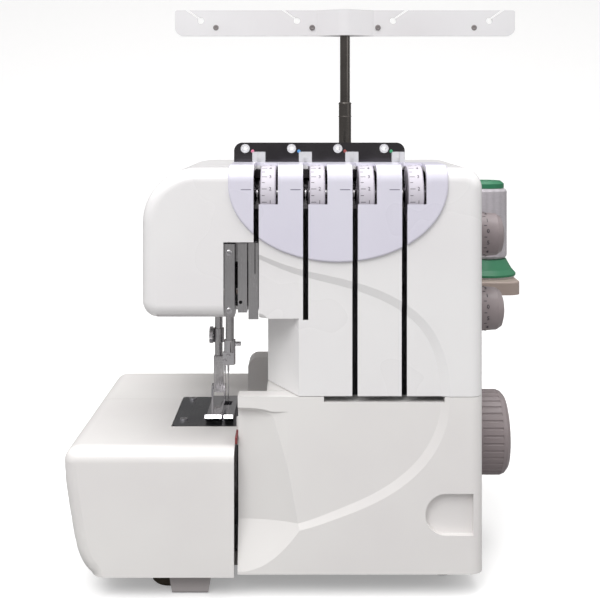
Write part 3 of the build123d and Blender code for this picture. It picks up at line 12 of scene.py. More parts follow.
import bpy
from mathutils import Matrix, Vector


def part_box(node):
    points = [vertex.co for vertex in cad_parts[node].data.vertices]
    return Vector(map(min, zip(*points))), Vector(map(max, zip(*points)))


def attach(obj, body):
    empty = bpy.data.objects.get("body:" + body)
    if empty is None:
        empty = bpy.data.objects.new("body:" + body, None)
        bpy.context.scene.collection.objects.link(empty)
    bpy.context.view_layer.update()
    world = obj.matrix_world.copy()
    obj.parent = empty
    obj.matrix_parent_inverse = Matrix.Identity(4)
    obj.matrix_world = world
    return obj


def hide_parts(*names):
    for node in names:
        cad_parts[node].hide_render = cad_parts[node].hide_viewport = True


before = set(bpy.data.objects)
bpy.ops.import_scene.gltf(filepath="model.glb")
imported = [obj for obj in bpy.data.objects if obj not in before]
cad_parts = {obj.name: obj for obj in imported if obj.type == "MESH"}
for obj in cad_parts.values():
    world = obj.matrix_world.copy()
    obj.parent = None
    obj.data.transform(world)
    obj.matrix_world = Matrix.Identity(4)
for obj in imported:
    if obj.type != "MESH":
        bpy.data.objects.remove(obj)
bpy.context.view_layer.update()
NODES: dict[str, bpy.types.Object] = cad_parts
log = logging.getLogger("overlock")
MM = 0.001

Colour = tuple[float, float, float]


def srgb(red: int, green: int, blue: int) -> Colour:
    """Returns a linear colour from three display values of 0 to 255."""
    def linear(value: int) -> float:
        v = value / 255
        return v / 12.92 if v <= 0.04045 else ((v + 0.055) / 1.055) ** 2.4

    return (linear(red), linear(green), linear(blue))


class Axis(Enum):
    """A row axis, with its place in a vector."""

    X = 0
    Y = 1
    Z = 2


# ---------------------------------------------------------------- shader effects
class Effects:
    """Shader node groups that several finishes share, each built once."""

    def __init__(self) -> None:
        """Starts with no groups."""
        self.made: dict[str, bpy.types.NodeTree] = {}

    def group(self, name: str, inputs: dict[str, float], build: Callable) -> bpy.types.NodeTree:
        """Builds a node group the first time it is asked for.

        Args:
            name: The group's name.
            inputs: Its number inputs with their defaults; Color inputs are added by name ending.
            build: Called with the tree, its input node and its output node.

        Returns:
            The node group.
        """
        if name in self.made:
            return self.made[name]
        tree = bpy.data.node_groups.new(name, "ShaderNodeTree")
        for label, value in inputs.items():
            kind = "NodeSocketColor" if label.startswith("Color") else "NodeSocketFloat"
            socket = tree.interface.new_socket(label, in_out="INPUT", socket_type=kind)
            socket.default_value = value
        for label in ("Color", "Roughness", "Height"):
            kind = "NodeSocketColor" if label == "Color" else "NodeSocketFloat"
            tree.interface.new_socket(label, in_out="OUTPUT", socket_type=kind)
        build(tree, tree.nodes.new("NodeGroupInput"), tree.nodes.new("NodeGroupOutput"))
        self.made[name] = tree
        return tree

    @staticmethod
    def math(tree: bpy.types.NodeTree, operation: str, a: object, b: object) -> bpy.types.NodeSocket:
        """Adds a Math node.

        Args:
            tree: The node tree.
            operation: The Math node's operation.
            a: A socket or a number.
            b: A socket or a number.

        Returns:
            The node's output socket.
        """
        node = tree.nodes.new("ShaderNodeMath")
        node.operation = operation
        for slot, value in zip(node.inputs, (a, b)):
            if isinstance(value, bpy.types.NodeSocket):
                tree.links.new(value, slot)
            else:
                slot.default_value = value
        return node.outputs[0]

    @staticmethod
    def noise(tree: bpy.types.NodeTree, scale: object, detail: float, stretch: Sequence[float] = (1, 1, 1),
              rough: float = 0.5) -> bpy.types.NodeSocket:
        """Adds a noise on Object coordinates.

        Args:
            tree: The node tree.
            scale: A socket or a number.
            detail: Octaves of detail.
            stretch: Scale along each axis.
            rough: The noise's own roughness.

        Returns:
            The noise value's socket.
        """
        place = tree.nodes.new("ShaderNodeTexCoord")
        mapping = tree.nodes.new("ShaderNodeMapping")
        mapping.inputs["Scale"].default_value = stretch
        tree.links.new(place.outputs["Object"], mapping.inputs["Vector"])
        node = tree.nodes.new("ShaderNodeTexNoise")
        tree.links.new(mapping.outputs[0], node.inputs["Vector"])
        if isinstance(scale, bpy.types.NodeSocket):
            tree.links.new(scale, node.inputs["Scale"])
        else:
            node.inputs["Scale"].default_value = scale
        node.inputs["Detail"].default_value = detail
        node.inputs["Roughness"].default_value = rough
        return node.outputs["Fac"]

    @staticmethod
    def mix(tree: bpy.types.NodeTree, factor: object, a: object, b: object) -> bpy.types.NodeSocket:
        """Adds a colour mix.

        Args:
            tree: The node tree.
            factor: A socket or a number.
            a: A colour socket or a colour.
            b: A colour socket or a colour.

        Returns:
            The mixed colour's socket.
        """
        node = tree.nodes.new("ShaderNodeMix")
        node.data_type = "RGBA"
        for slot, value in ((node.inputs[0], factor), (node.inputs[6], a), (node.inputs[7], b)):
            if isinstance(value, bpy.types.NodeSocket):
                tree.links.new(value, slot)
            else:
                slot.default_value = value
        return node.outputs[2]

    @staticmethod
    def spread(tree: bpy.types.NodeTree, value: bpy.types.NodeSocket, low: object, high: object,
               start: float = 0.3, end: float = 0.7) -> bpy.types.NodeSocket:
        """Adds a Map Range from start..end to low..high.

        Args:
            tree: The node tree.
            value: The socket to map.
            low: A socket or a number.
            high: A socket or a number.
            start: The lowest value in.
            end: The highest value in.

        Returns:
            The mapped value's socket.
        """
        node = tree.nodes.new("ShaderNodeMapRange")
        tree.links.new(value, node.inputs["Value"])
        node.inputs["From Min"].default_value = start
        node.inputs["From Max"].default_value = end
        for slot, number in ((node.inputs["To Min"], low), (node.inputs["To Max"], high)):
            if isinstance(number, bpy.types.NodeSocket):
                tree.links.new(number, slot)
            else:
                slot.default_value = number
        return node.outputs[0]

    def moulded(self) -> bpy.types.NodeTree:
        """Moulded plastic or paint: slow colour patches, uneven gloss and a fine grain."""
        def build(tree: bpy.types.NodeTree, given: bpy.types.Node, out: bpy.types.Node) -> None:
            patches = self.noise(tree, given.outputs["Patch Scale"], 3.0)
            speck = self.noise(tree, given.outputs["Grain Scale"], 2.0)
            tone = self.spread(tree, patches, 0.0, 1.0, 0.35, 0.65)
            colour = self.mix(tree, tone, given.outputs["Color A"], given.outputs["Color B"])
            smear = self.noise(tree, 14.0, 2.0, (1, 1, 1), 0.4)
            rough = self.spread(tree, smear, given.outputs["Rough Low"], given.outputs["Rough High"], 0.2, 0.8)
            tree.links.new(colour, out.inputs["Color"])
            tree.links.new(rough, out.inputs["Roughness"])
            tree.links.new(self.math(tree, "MULTIPLY", speck, given.outputs["Grain"]), out.inputs["Height"])

        return self.group("moulded_surface", {
            "Color A": (1, 1, 1, 1), "Color B": (1, 1, 1, 1), "Patch Scale": 9.0, "Grain Scale": 2500.0,
            "Grain": 1.0, "Rough Low": 0.3, "Rough High": 0.4}, build)

    def brushed(self, along: Axis) -> bpy.types.NodeTree:
        """Machined metal with fine lines along one axis.

        Args:
            along: The axis that the lines follow.

        Returns:
            The node group.
        """
        def build(tree: bpy.types.NodeTree, given: bpy.types.Node, out: bpy.types.Node) -> None:
            stretch = [1.0, 1.0, 1.0]
            stretch[along.value] = 0.02
            lines = self.noise(tree, given.outputs["Line Scale"], 4.0, stretch, 0.65)
            cloud = self.noise(tree, 40.0, 3.0)
            tone = self.spread(tree, cloud, 0.0, 1.0)
            colour = self.mix(tree, tone, given.outputs["Color A"], given.outputs["Color B"])
            rough = self.spread(tree, lines, given.outputs["Rough Low"], given.outputs["Rough High"])
            tree.links.new(colour, out.inputs["Color"])
            tree.links.new(rough, out.inputs["Roughness"])
            tree.links.new(self.math(tree, "MULTIPLY", lines, given.outputs["Grain"]), out.inputs["Height"])

        return self.group("brushed_surface_" + along.name.lower(), {
            "Color A": (1, 1, 1, 1), "Color B": (1, 1, 1, 1), "Line Scale": 900.0, "Grain": 1.0,
            "Rough Low": 0.2, "Rough High": 0.4}, build)

    def wound(self) -> bpy.types.NodeTree:
        """Thread wound on a spool: fine turns that cross at a small angle."""
        def build(tree: bpy.types.NodeTree, given: bpy.types.Node, out: bpy.types.Node) -> None:
            place = tree.nodes.new("ShaderNodeTexCoord")
            waves = []
            for slant in (0.06, -0.06):
                mapping = tree.nodes.new("ShaderNodeMapping")
                mapping.inputs["Rotation"].default_value = (0, slant, 0)
                tree.links.new(place.outputs["Object"], mapping.inputs["Vector"])
                wave = tree.nodes.new("ShaderNodeTexWave")
                wave.bands_direction = "Z"
                wave.inputs["Scale"].default_value = 420.0
                wave.inputs["Distortion"].default_value = 1.2
                wave.inputs["Detail"].default_value = 1.0
                tree.links.new(mapping.outputs[0], wave.inputs["Vector"])
                waves.append(wave.outputs["Fac"])
            turns = self.math(tree, "MAXIMUM", waves[0], waves[1])
            patch = self.noise(tree, 160.0, 2.0, (1, 1, 6))
            tone = self.math(tree, "MULTIPLY", turns, self.spread(tree, patch, 0.75, 1.0))
            colour = self.mix(tree, tone, given.outputs["Color A"], given.outputs["Color B"])
            tree.links.new(colour, out.inputs["Color"])
            tree.links.new(self.spread(tree, turns, given.outputs["Rough High"], given.outputs["Rough Low"],
                                       0.0, 1.0), out.inputs["Roughness"])
            tree.links.new(self.math(tree, "MULTIPLY", turns, given.outputs["Grain"]), out.inputs["Height"])

        return self.group("wound_thread", {
            "Color A": (0, 0, 0, 1), "Color B": (1, 1, 1, 1), "Grain": 1.0, "Rough Low": 0.45,
            "Rough High": 0.7}, build)


EFFECTS = Effects()


@dataclass(frozen=True)
class Finish:
    """One surface finish: two close colours, a range of gloss and a grain."""

    name: str
    colour: Colour
    shade: Colour
    rough: tuple[float, float] = (0.3, 0.42)
    metallic: float = 0.0
    specular: float = 0.5
    coat: float = 0.0
    coat_rough: float = 0.1
    grain: float = 0.0
    grain_scale: float = 2500.0
    patch_scale: float = 9.0
    alpha_glass: float = 0.0
    sheen: float = 0.0
    lines: Optional[Axis] = None
    threads: bool = False

    def material(self) -> bpy.types.Material:
        """Builds the material once.

        Returns:
            The material, with its pattern group and its own Principled BSDF.
        """
        if self.name in bpy.data.materials:
            return bpy.data.materials[self.name]
        made = bpy.data.materials.new(self.name)
        made.use_nodes = True
        tree = made.node_tree
        shader = tree.nodes["Principled BSDF"]
        pattern = tree.nodes.new("ShaderNodeGroup")
        if self.threads:
            pattern.node_tree = EFFECTS.wound()
        elif self.lines is not None:
            pattern.node_tree = EFFECTS.brushed(self.lines)
            pattern.inputs["Line Scale"].default_value = self.grain_scale
        else:
            pattern.node_tree = EFFECTS.moulded()
            pattern.inputs["Patch Scale"].default_value = self.patch_scale
            pattern.inputs["Grain Scale"].default_value = self.grain_scale
        pattern.inputs["Color A"].default_value = (*self.colour, 1)
        pattern.inputs["Color B"].default_value = (*self.shade, 1)
        pattern.inputs["Rough Low"].default_value = self.rough[0]
        pattern.inputs["Rough High"].default_value = self.rough[1]
        pattern.inputs["Grain"].default_value = 1.0
        tree.links.new(pattern.outputs["Color"], shader.inputs["Base Color"])
        tree.links.new(pattern.outputs["Roughness"], shader.inputs["Roughness"])
        if self.grain:
            bump = tree.nodes.new("ShaderNodeBump")
            bump.inputs["Strength"].default_value = 1.0
            bump.inputs["Distance"].default_value = self.grain * MM
            tree.links.new(pattern.outputs["Height"], bump.inputs["Height"])
            tree.links.new(bump.outputs["Normal"], shader.inputs["Normal"])
        shader.inputs["Metallic"].default_value = self.metallic
        shader.inputs["Specular IOR Level"].default_value = self.specular
        shader.inputs["Coat Weight"].default_value = self.coat
        shader.inputs["Coat Roughness"].default_value = self.coat_rough
        shader.inputs["Transmission Weight"].default_value = self.alpha_glass
        shader.inputs["Sheen Weight"].default_value = self.sheen
        made.diffuse_color = (*self.colour, 1)
        return made


WHITE = Finish("white_casing", srgb(238, 237, 237), srgb(234, 232, 233), (0.24, 0.34), coat=0.25, grain=0.012)
WHITE_LOW = Finish("white_covers", srgb(234, 232, 230), srgb(229, 226, 225), (0.26, 0.36), coat=0.2, grain=0.012)
LAVENDER = Finish("lavender_panel", srgb(223, 221, 233), srgb(218, 215, 229), (0.25, 0.33), coat=0.3, grain=0.01)
DIAL = Finish("dial_plastic", srgb(205, 202, 213), srgb(196, 193, 206), (0.3, 0.4), grain=0.01)
INK = Finish("printed_ink", srgb(52, 50, 60), srgb(44, 42, 52), (0.4, 0.5))
# Painted shade: the handwheel and side dials are pale grey-mauve plastic; this darker grey-mauve holds the shade that
# falls on the dim right side.
WHEEL_SHADED = Finish("wheel_plastic_painted_shade", srgb(146, 136, 137), srgb(138, 127, 129), (0.3, 0.42), grain=0.02)
# Painted shade: the spool tray is ivory-white plastic; this brownish grey holds the shade that falls on it.
TRAY_SHADED = Finish("tray_plastic_painted_shade", srgb(163, 148, 140), srgb(155, 140, 133), (0.35, 0.48), grain=0.03)
BLACK = Finish("black_plastic", srgb(34, 33, 35), srgb(28, 27, 30), (0.35, 0.5), grain=0.03)
LEG = Finish("leg_plastic", srgb(188, 178, 176), srgb(178, 168, 167), (0.35, 0.5), grain=0.02)
PAN = Finish("pan_paint", srgb(140, 134, 131), srgb(130, 125, 122), (0.45, 0.6), grain=0.05)
CAST = Finish("cast_frame", srgb(150, 150, 152), srgb(132, 132, 135), (0.5, 0.7), 0.6, grain=0.12, grain_scale=900)
STEEL_Z = Finish("steel_bars", srgb(196, 194, 195), srgb(180, 178, 180), (0.16, 0.3), 1.0, grain=0.004, lines=Axis.Z)
STEEL_X = Finish("steel_shafts", srgb(190, 188, 190), srgb(172, 170, 172), (0.18, 0.34), 1.0, grain=0.004, lines=Axis.X)
CHROME = Finish("polished_steel", srgb(214, 212, 214), srgb(200, 198, 201), (0.08, 0.18), 1.0)
PLATE = Finish("needle_plate_steel", srgb(134, 135, 139), srgb(120, 121, 126), (0.26, 0.4), 1.0, grain=0.006,
               lines=Axis.Y)
GUIDE = Finish("dark_mirror_steel", srgb(96, 93, 96), srgb(82, 79, 83), (0.1, 0.22), 1.0, grain=0.003, lines=Axis.X)
CLEAR = Finish("clear_plastic", srgb(232, 232, 238), srgb(224, 224, 232), (0.08, 0.16), alpha_glass=0.75)
LENS = Finish("frosted_lens", srgb(240, 238, 230), srgb(232, 230, 222), (0.35, 0.5), alpha_glass=0.5)
RUBBER = Finish("dark_rubber", srgb(84, 76, 64), srgb(72, 65, 55), (0.6, 0.8), specular=0.3, grain=0.05)
BELT = Finish("belt_rubber", srgb(40, 39, 38), srgb(33, 32, 31), (0.6, 0.8), specular=0.3, grain=0.05)
FELT = Finish("felt_pad", srgb(222, 218, 212), srgb(206, 202, 197), (0.85, 0.95), grain=0.25, grain_scale=1400,
              sheen=0.5, patch_scale=120)
GREEN = Finish("green_plastic", srgb(14, 92, 60), srgb(11, 82, 54), (0.28, 0.38), grain=0.015)
# Painted shade: the wound thread is white; both of its greys hold the shade that falls on the spool.
THREAD_SHADED = Finish("wound_thread_painted_shade", srgb(150, 145, 150), srgb(190, 185, 191), (0.45, 0.65), grain=0.12, sheen=0.3,
                threads=True)
BAR = Finish("guide_bar_plastic", srgb(226, 225, 227), srgb(218, 216, 218), (0.25, 0.36), coat=0.2, grain=0.01)
RED = Finish("red_plastic", srgb(132, 46, 48), srgb(120, 40, 43), (0.3, 0.4), grain=0.01)
MAST = Finish("mast_steel", srgb(108, 104, 101), srgb(92, 88, 85), (0.12, 0.24), 1.0, grain=0.003, lines=Axis.Z)

INDEX = Finish("index_ink", srgb(126, 122, 140), srgb(116, 112, 130), (0.4, 0.5))
PINK = Finish("pink_ink", srgb(214, 120, 150), srgb(204, 108, 140), (0.3, 0.45))
BLUE = Finish("blue_ink", srgb(70, 140, 200), srgb(60, 128, 190), (0.3, 0.45))
BROWN = Finish("red_brown_ink", srgb(150, 62, 58), srgb(140, 54, 50), (0.3, 0.45))
GREEN_DOT = Finish("green_ink", srgb(60, 160, 110), srgb(50, 148, 100), (0.3, 0.45))
RIVET = Finish("rivet_plastic", srgb(128, 122, 122), srgb(118, 112, 112), (0.35, 0.5), grain=0.01)

NODE_FINISHES: dict[str, Finish] = {
    "front_casing": WHITE, "rear_casing": WHITE, "tension_panel": LAVENDER, "looper_cover": WHITE_LOW,
    "lower_housing": WHITE_LOW, "cloth_plate": WHITE_LOW, "rear_bed_cover": WHITE_LOW, "looper_wall": WHITE_LOW,
    "base_pan": PAN, "rubber_feet": RUBBER, "front_leg": LEG, "frame_casting": CAST, "motor": CAST,
    "drive_belt": BELT, "main_shaft": STEEL_X, "shaft_pulley": STEEL_X, "motor_pulley": BLACK,
    "handwheel": WHEEL_SHADED, "stitch_dial": WHEEL_SHADED, "feed_dial": WHEEL_SHADED, "needle_bar": STEEL_Z, "presser_bar": STEEL_Z,
    "presser_shank": STEEL_Z, "needle_clamp": CHROME, "needles": CHROME, "thumb_screw": CHROME,
    "presser_foot": CHROME, "needle_plate": PLATE, "needle_plate_screws": CHROME, "feed_dogs": STEEL_Z,
    "upper_knife": STEEL_Z, "lower_knife": STEEL_Z, "upper_looper": CHROME, "lower_looper": CHROME,
    "looper_hinge_rod": STEEL_X, "release_knob": RED, "take_up_cover": STEEL_Z, "lamp_lens": LENS,
    "lifter_bracket": STEEL_X, "presser_lifter": BLACK, "tension_bracket": STEEL_X, "tension_discs": CHROME,
    "tension_dial_1": DIAL, "tension_dial_2": DIAL, "tension_dial_3": DIAL, "tension_dial_4": DIAL,
    "guide_plate": GUIDE, "clear_thread_guides": CLEAR, "inlet_and_switch_frame": BLACK,
    "power_switch": BLACK, "rear_screws": CHROME, "tray_bracket": STEEL_X, "spool_tray": TRAY_SHADED, "spool_pins": BAR,
    "spool_cushions": FELT, "spool_core": GREEN, "spool_thread": THREAD_SHADED, "mast_tube": MAST, "mast_rod": MAST,
    "thread_guide_bar": BAR,
}


def dress_frame() -> None:
    """Gives every carried-over node its finish."""
    for name, finish in NODE_FINISHES.items():
        node = NODES[name]
        node.data.materials.clear()
        node.data.materials.append(finish.material())
        log.info("dressed %s in %s", name, finish.name)


# ---------------------------------------------------------------- mesh helpers
def start(name: str) -> bpy.types.Object:
    """Names the primitive that was just added.

    Args:
        name: The piece's name.

    Returns:
        The new object.
    """
    piece = bpy.context.object
    piece.name = name
    piece.data.name = name
    return piece


def settle(piece: bpy.types.Object) -> bpy.types.Object:
    """Puts a piece's place, turn and size into its mesh.

    Args:
        piece: The object.

    Returns:
        The same object, at the origin.
    """
    bpy.ops.object.select_all(action="DESELECT")
    piece.select_set(True)
    bpy.context.view_layer.objects.active = piece
    bpy.ops.object.transform_apply(location=True, rotation=True, scale=True)
    return piece


def pick_faces(piece: bpy.types.Object, test: Callable[[Vector, Vector], bool]) -> None:
    """Selects faces by their middle and normal, and leaves the piece in edit mode.

    Args:
        piece: The object, already settled.
        test: Called with a face's middle and normal.
    """
    bpy.ops.object.mode_set(mode="EDIT")
    bpy.ops.mesh.select_mode(type="FACE")
    bpy.ops.mesh.select_all(action="DESELECT")
    bpy.ops.object.mode_set(mode="OBJECT")
    for face in piece.data.polygons:
        face.select = test(face.center, face.normal)
    bpy.ops.object.mode_set(mode="EDIT")


def bevelled(piece: bpy.types.Object, width: float, segments: int = 2) -> bpy.types.Object:
    """Rounds a piece's sharp edges and smooths its shading.

    Args:
        piece: The object.
        width: The bevel's width.
        segments: Steps across the bevel.

    Returns:
        The same object.
    """
    bpy.context.view_layer.objects.active = piece
    bevel = piece.modifiers.new("edge", "BEVEL")
    bevel.width = width
    bevel.segments = segments
    bevel.limit_method = "ANGLE"
    bevel.angle_limit = math.radians(35)
    bpy.ops.object.modifier_apply(modifier="edge")
    bpy.ops.object.shade_smooth_by_angle(angle=math.radians(35))
    return piece


def plate(name: str, low: Sequence[float], high: Sequence[float]) -> bpy.types.Object:
    """Makes a block between two corners, for shaping further.

    Args:
        name: The piece's name.
        low: Lowest corner.
        high: Highest corner.

    Returns:
        The settled object.
    """
    middle = [(a + b) / 2 for a, b in zip(low, high)]
    bpy.ops.object.select_all(action="DESELECT")
    bpy.ops.mesh.primitive_cube_add(size=1, location=middle)
    piece = start(name)
    piece.scale = [b - a for a, b in zip(low, high)]
    return settle(piece)


def ring(name: str, middle: Sequence[float], axis: Axis, radius: float, thick: float,
         sides: int = 32) -> bpy.types.Object:
    """Makes a round rim from a torus, flattened a little along its axis.

    Args:
        name: The piece's name.
        middle: The rim's middle.
        axis: The rim's axis.
        radius: To the middle of its section.
        thick: The section's radius.
        sides: Steps round the rim.

    Returns:
        The settled object.
    """
    turn = {Axis.X: (0, math.pi / 2, 0), Axis.Y: (math.pi / 2, 0, 0), Axis.Z: (0, 0, 0)}[axis]
    bpy.ops.object.select_all(action="DESELECT")
    bpy.ops.mesh.primitive_torus_add(major_radius=radius, minor_radius=thick, major_segments=sides,
                                     minor_segments=10, location=middle, rotation=turn)
    piece = start(name)
    piece.scale = (1, 1, 0.8)
    settle(piece)
    bpy.ops.object.shade_smooth()
    return piece


def joined(name: str, pieces: Sequence[bpy.types.Object]) -> bpy.types.Object:
    """Joins several pieces into one.

    Args:
        name: The new piece's name.
        pieces: The objects.

    Returns:
        The joined object.
    """
    bpy.ops.object.select_all(action="DESELECT")
    for piece in pieces:
        piece.select_set(True)
    bpy.context.view_layer.objects.active = pieces[0]
    if len(pieces) > 1:
        bpy.ops.object.join()
    return start(name)


def lettered(name: str, words: str, size: float, middle: Sequence[float], turn: Sequence[float],
             thick: float = 0.00012) -> bpy.types.Object:
    """Makes a number as a thin raised print.

    Args:
        name: The piece's name.
        words: Digits or a sign.
        size: Height of the print.
        middle: Its middle.
        turn: Its rotation.
        thick: How far it stands up.

    Returns:
        The settled mesh object.
    """
    bpy.ops.object.select_all(action="DESELECT")
    bpy.ops.object.text_add(location=(0, 0, 0))
    text = bpy.context.object
    text.data.body = words
    text.data.size = size
    text.data.align_x = "CENTER"
    text.data.align_y = "CENTER"
    text.data.extrude = thick / 2
    text.data.resolution_u = 2
    bpy.ops.object.convert(target="MESH")
    piece = start(name)
    piece.rotation_euler = turn
    piece.location = middle
    return settle(piece)


def finish_piece(piece: bpy.types.Object, finish: Finish, body: str) -> None:
    """Gives a piece its finish, body and material slot.

    Args:
        piece: The object.
        finish: Its surface.
        body: The body it moves with.
    """
    piece.data.materials.clear()
    piece.data.materials.append(finish.material())
    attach(piece, body)
    log.info("made %s (%d faces)", piece.name, len(piece.data.polygons))


# ---------------------------------------------------------------- sub-assemblies
@dataclass
class TensionDials:
    """Printed scales on the four tension dials, and the index lines beside their slots."""

    count: int = 4
    numbers: int = 10
    step_deg: float = 26.0
    print_size: float = 0.0034
    tick_long: float = 0.0034
    tick_half: float = 0.00018
    proud: float = 0.00006
    first_deg: float = -38
    number_in: float = 0.0066
    tick_in: float = 0.0009
    tick_sunk: float = 0.0004
    half_tick: float = 0.6
    index_z: float = 0.2738
    index_long: float = 0.0068
    index_gap: float = 0.0062
    index_half: float = 0.0003
    index_proud: float = 0.00005
    index_sunk: float = 0.0004

    def face(self, which: int) -> tuple[float, float, float, float]:
        """Returns a dial's left face, its axis in Y and Z, and its radius."""
        low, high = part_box(f"tension_dial_{which}")
        return low[0], (low[1] + high[1]) / 2, (low[2] + high[2]) / 2, (high[2] - low[2]) / 2

    def scale(self, which: int) -> bpy.types.Object:
        """Makes one dial's ring of ticks and numbers.

        Args:
            which: The dial, from 1.

        Returns:
            The printed scale.
        """
        x0, y, z, radius = self.face(which)
        r = radius + self.proud
        pieces = []
        for k in range(self.numbers):
            angle = math.radians(self.first_deg + k * self.step_deg)
            place = (x0 + self.number_in, y - r * math.cos(angle), z + r * math.sin(angle))
            tilt = math.pi / 2 - angle
            pieces.append(lettered(f"number_{k}", str(k), self.print_size, place, (tilt, 0, 0)))
            for half in (0.0, 0.5):
                a = math.radians(self.first_deg + (k + half) * self.step_deg)
                long = self.tick_long * (1.0 if half == 0.0 else self.half_tick)
                tick = plate(f"tick_{k}", (x0 + self.tick_in, -self.tick_half, r - self.tick_sunk),
                             (x0 + self.tick_in + long, self.tick_half, r))
                tick.rotation_euler = (math.pi / 2 - a, 0, 0)
                tick.location = (0, y, z)
                pieces.append(settle(tick))
        return joined(f"dial_scale_{which}", pieces)

    def index(self, which: int) -> bpy.types.Object:
        """Makes the short index line on the panel left of a dial's slot.

        Args:
            which: The dial, from 1.

        Returns:
            The index line.
        """
        x0 = self.face(which)[0]
        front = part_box("tension_panel")[0][1]
        right = x0 - self.index_gap
        low = (right - self.index_long, front - self.index_proud, self.index_z - self.index_half)
        high = (right, front + self.index_sunk, self.index_z + self.index_half)
        line = plate(f"dial_index_{which}", low, high)
        return bevelled(line, 0.00004, 1)

    def build(self) -> None:
        """Builds every scale and index line."""
        for which in range(1, self.count + 1):
            finish_piece(self.scale(which), INK, f"tension_dial_{which}")
            finish_piece(self.index(which), INDEX, "machine")


@dataclass
class SideDials:
    """Numbers round the rims of the two setting dials on the right side."""

    print_size: float = 0.0042
    count: int = 12
    highest: int = 6
    first_deg: float = 14
    out: float = 0.0085
    rim_in: float = 0.00046
    proud: float = 0.00008
    tick_from: float = 0.0028
    tick_to: float = 0.0008
    tick_half: float = 0.00022
    tick_sunk: float = 0.0004
    tick_proud: float = 0.00004

    def numbers(self, node: str) -> bpy.types.Object:
        """Makes one dial's ring of numbers and ticks.

        Args:
            node: The dial's node.

        Returns:
            The printed ring.
        """
        low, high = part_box(node)
        y, z = (low[1] + high[1]) / 2, (low[2] + high[2]) / 2
        radius = (high[2] - low[2]) / 2
        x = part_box("front_casing")[1][0] + self.out
        pieces = []
        for k in range(self.count):
            angle = math.radians(k * 360 / self.count + self.first_deg)
            r = radius - self.rim_in + self.proud
            place = (x, y - r * math.cos(angle), z + r * math.sin(angle))
            tilt = (math.pi / 2 - angle, 0, 0)
            pieces.append(lettered(f"mark_{k}", str(k % self.highest), self.print_size, place, tilt))
            a = angle + math.pi / self.count
            tick = plate(f"tick_{k}", (x - self.tick_from, -self.tick_half, r - self.tick_sunk),
                         (x - self.tick_to, self.tick_half, r + self.tick_proud))
            tick.rotation_euler = (math.pi / 2 - a, 0, 0)
            tick.location = (0, y, z)
            pieces.append(settle(tick))
        return joined(node + "_numbers", pieces)

    def build(self) -> None:
        """Builds both rings."""
        for node in ("stitch_dial", "feed_dial"):
            finish_piece(self.numbers(node), INK, node)


@dataclass
class GuidePlate:
    """Coloured dots of the thread routes, beside the guide plate's eyes."""

    eyes_x: tuple[float, ...] = (-0.0514, -0.0183, 0.0148, 0.0479)
    eye_z: float = 0.3000
    dot_shift: float = 0.0052
    dot_drop: float = 0.0022
    dot_r: float = 0.0012
    dot_flat: float = 0.35

    def build(self) -> None:
        """Builds the four dots."""
        for k, (x, finish) in enumerate(zip(self.eyes_x, (PINK, BLUE, BROWN, GREEN_DOT))):
            bpy.ops.object.select_all(action="DESELECT")
            place = (x + self.dot_shift, front_at(self.eye_z), self.eye_z - self.dot_drop)
            bpy.ops.mesh.primitive_uv_sphere_add(segments=24, ring_count=12, radius=self.dot_r, location=place)
            dot = start(f"route_dot_{k + 1}")
            dot.scale = (1, self.dot_flat, 1)
            settle(dot)
            bpy.ops.object.shade_smooth()
            finish_piece(dot, finish, "machine")


def front_at(z: float) -> float:
    """Returns the Y of the guide plate's front face at a height, from its mesh.

    Args:
        z: The height.

    Returns:
        The front face's Y there.
    """
    mesh = NODES["guide_plate"].data
    near = [v.co.y for v in mesh.vertices if abs(v.co.z - z) < 0.004]
    return min(near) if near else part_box("guide_plate")[0][1]


@dataclass
class ThreadBar:
    """Grey rivets on the bar that leads the threads down from above."""

    rivets_z: float = 0.3986
    hole_reach: float = 0.013
    pitch: float = 0.082
    middle_x: float = 0.026
    rivet_r: float = 0.0024
    rivet_deep: float = 0.0016
    rivet_sunk: float = 0.0005
    near: float = 0.006
    count: int = 4

    def rivet(self, name: str, x: float, y: float) -> bpy.types.Object:
        """Makes one domed rivet with a dimple.

        Args:
            name: The piece's name.
            x: Its place across.
            y: The bar's front face there.

        Returns:
            The rivet.
        """
        bpy.ops.object.select_all(action="DESELECT")
        bpy.ops.mesh.primitive_cylinder_add(vertices=32, radius=self.rivet_r, depth=self.rivet_deep,
                                            location=(x, y, self.rivets_z), rotation=(math.pi / 2, 0, 0))
        head = settle(start(name))
        pick_faces(head, lambda middle, normal: normal.y < -0.9)
        bpy.ops.mesh.inset(thickness=self.rivet_r * 0.45, depth=0.0003)
        bpy.ops.mesh.inset(thickness=self.rivet_r * 0.2, depth=-0.0004)
        bpy.ops.object.mode_set(mode="OBJECT")
        return bevelled(head, 0.0003)

    def face_y(self, x: float) -> float:
        """Returns the bar's front face at a place across, from its mesh."""
        near = [v.co.y for v in NODES["thread_guide_bar"].data.vertices if abs(v.co.x - x) < self.near]
        return min(near) + self.rivet_sunk

    def build(self) -> None:
        """Builds the four rivets."""
        for k in range(self.count):
            eye = self.middle_x + (k - (self.count - 1) / 2) * self.pitch
            side = 1 if eye < self.middle_x else -1
            x = eye + side * self.hole_reach
            piece = self.rivet(f"bar_rivet_{k + 1}", x, self.face_y(x))
            finish_piece(piece, RIVET, "thread_guide_bar")


@dataclass
class Mast:
    """Rims at the top of the mast's tube."""

    thick: float = 0.0009
    drops: tuple[float, float] = (0.0012, 0.012)

    def build(self) -> None:
        """Builds the two rims."""
        low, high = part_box("mast_tube")
        x, y = (low[0] + high[0]) / 2, (low[1] + high[1]) / 2
        radius = (high[0] - low[0]) / 2
        for k, drop in enumerate(self.drops):
            rim = ring(f"mast_rim_{k + 1}", (x, y, high[2] - drop), Axis.Z, radius, self.thick * 0.5)
            finish_piece(rim, MAST, "machine")


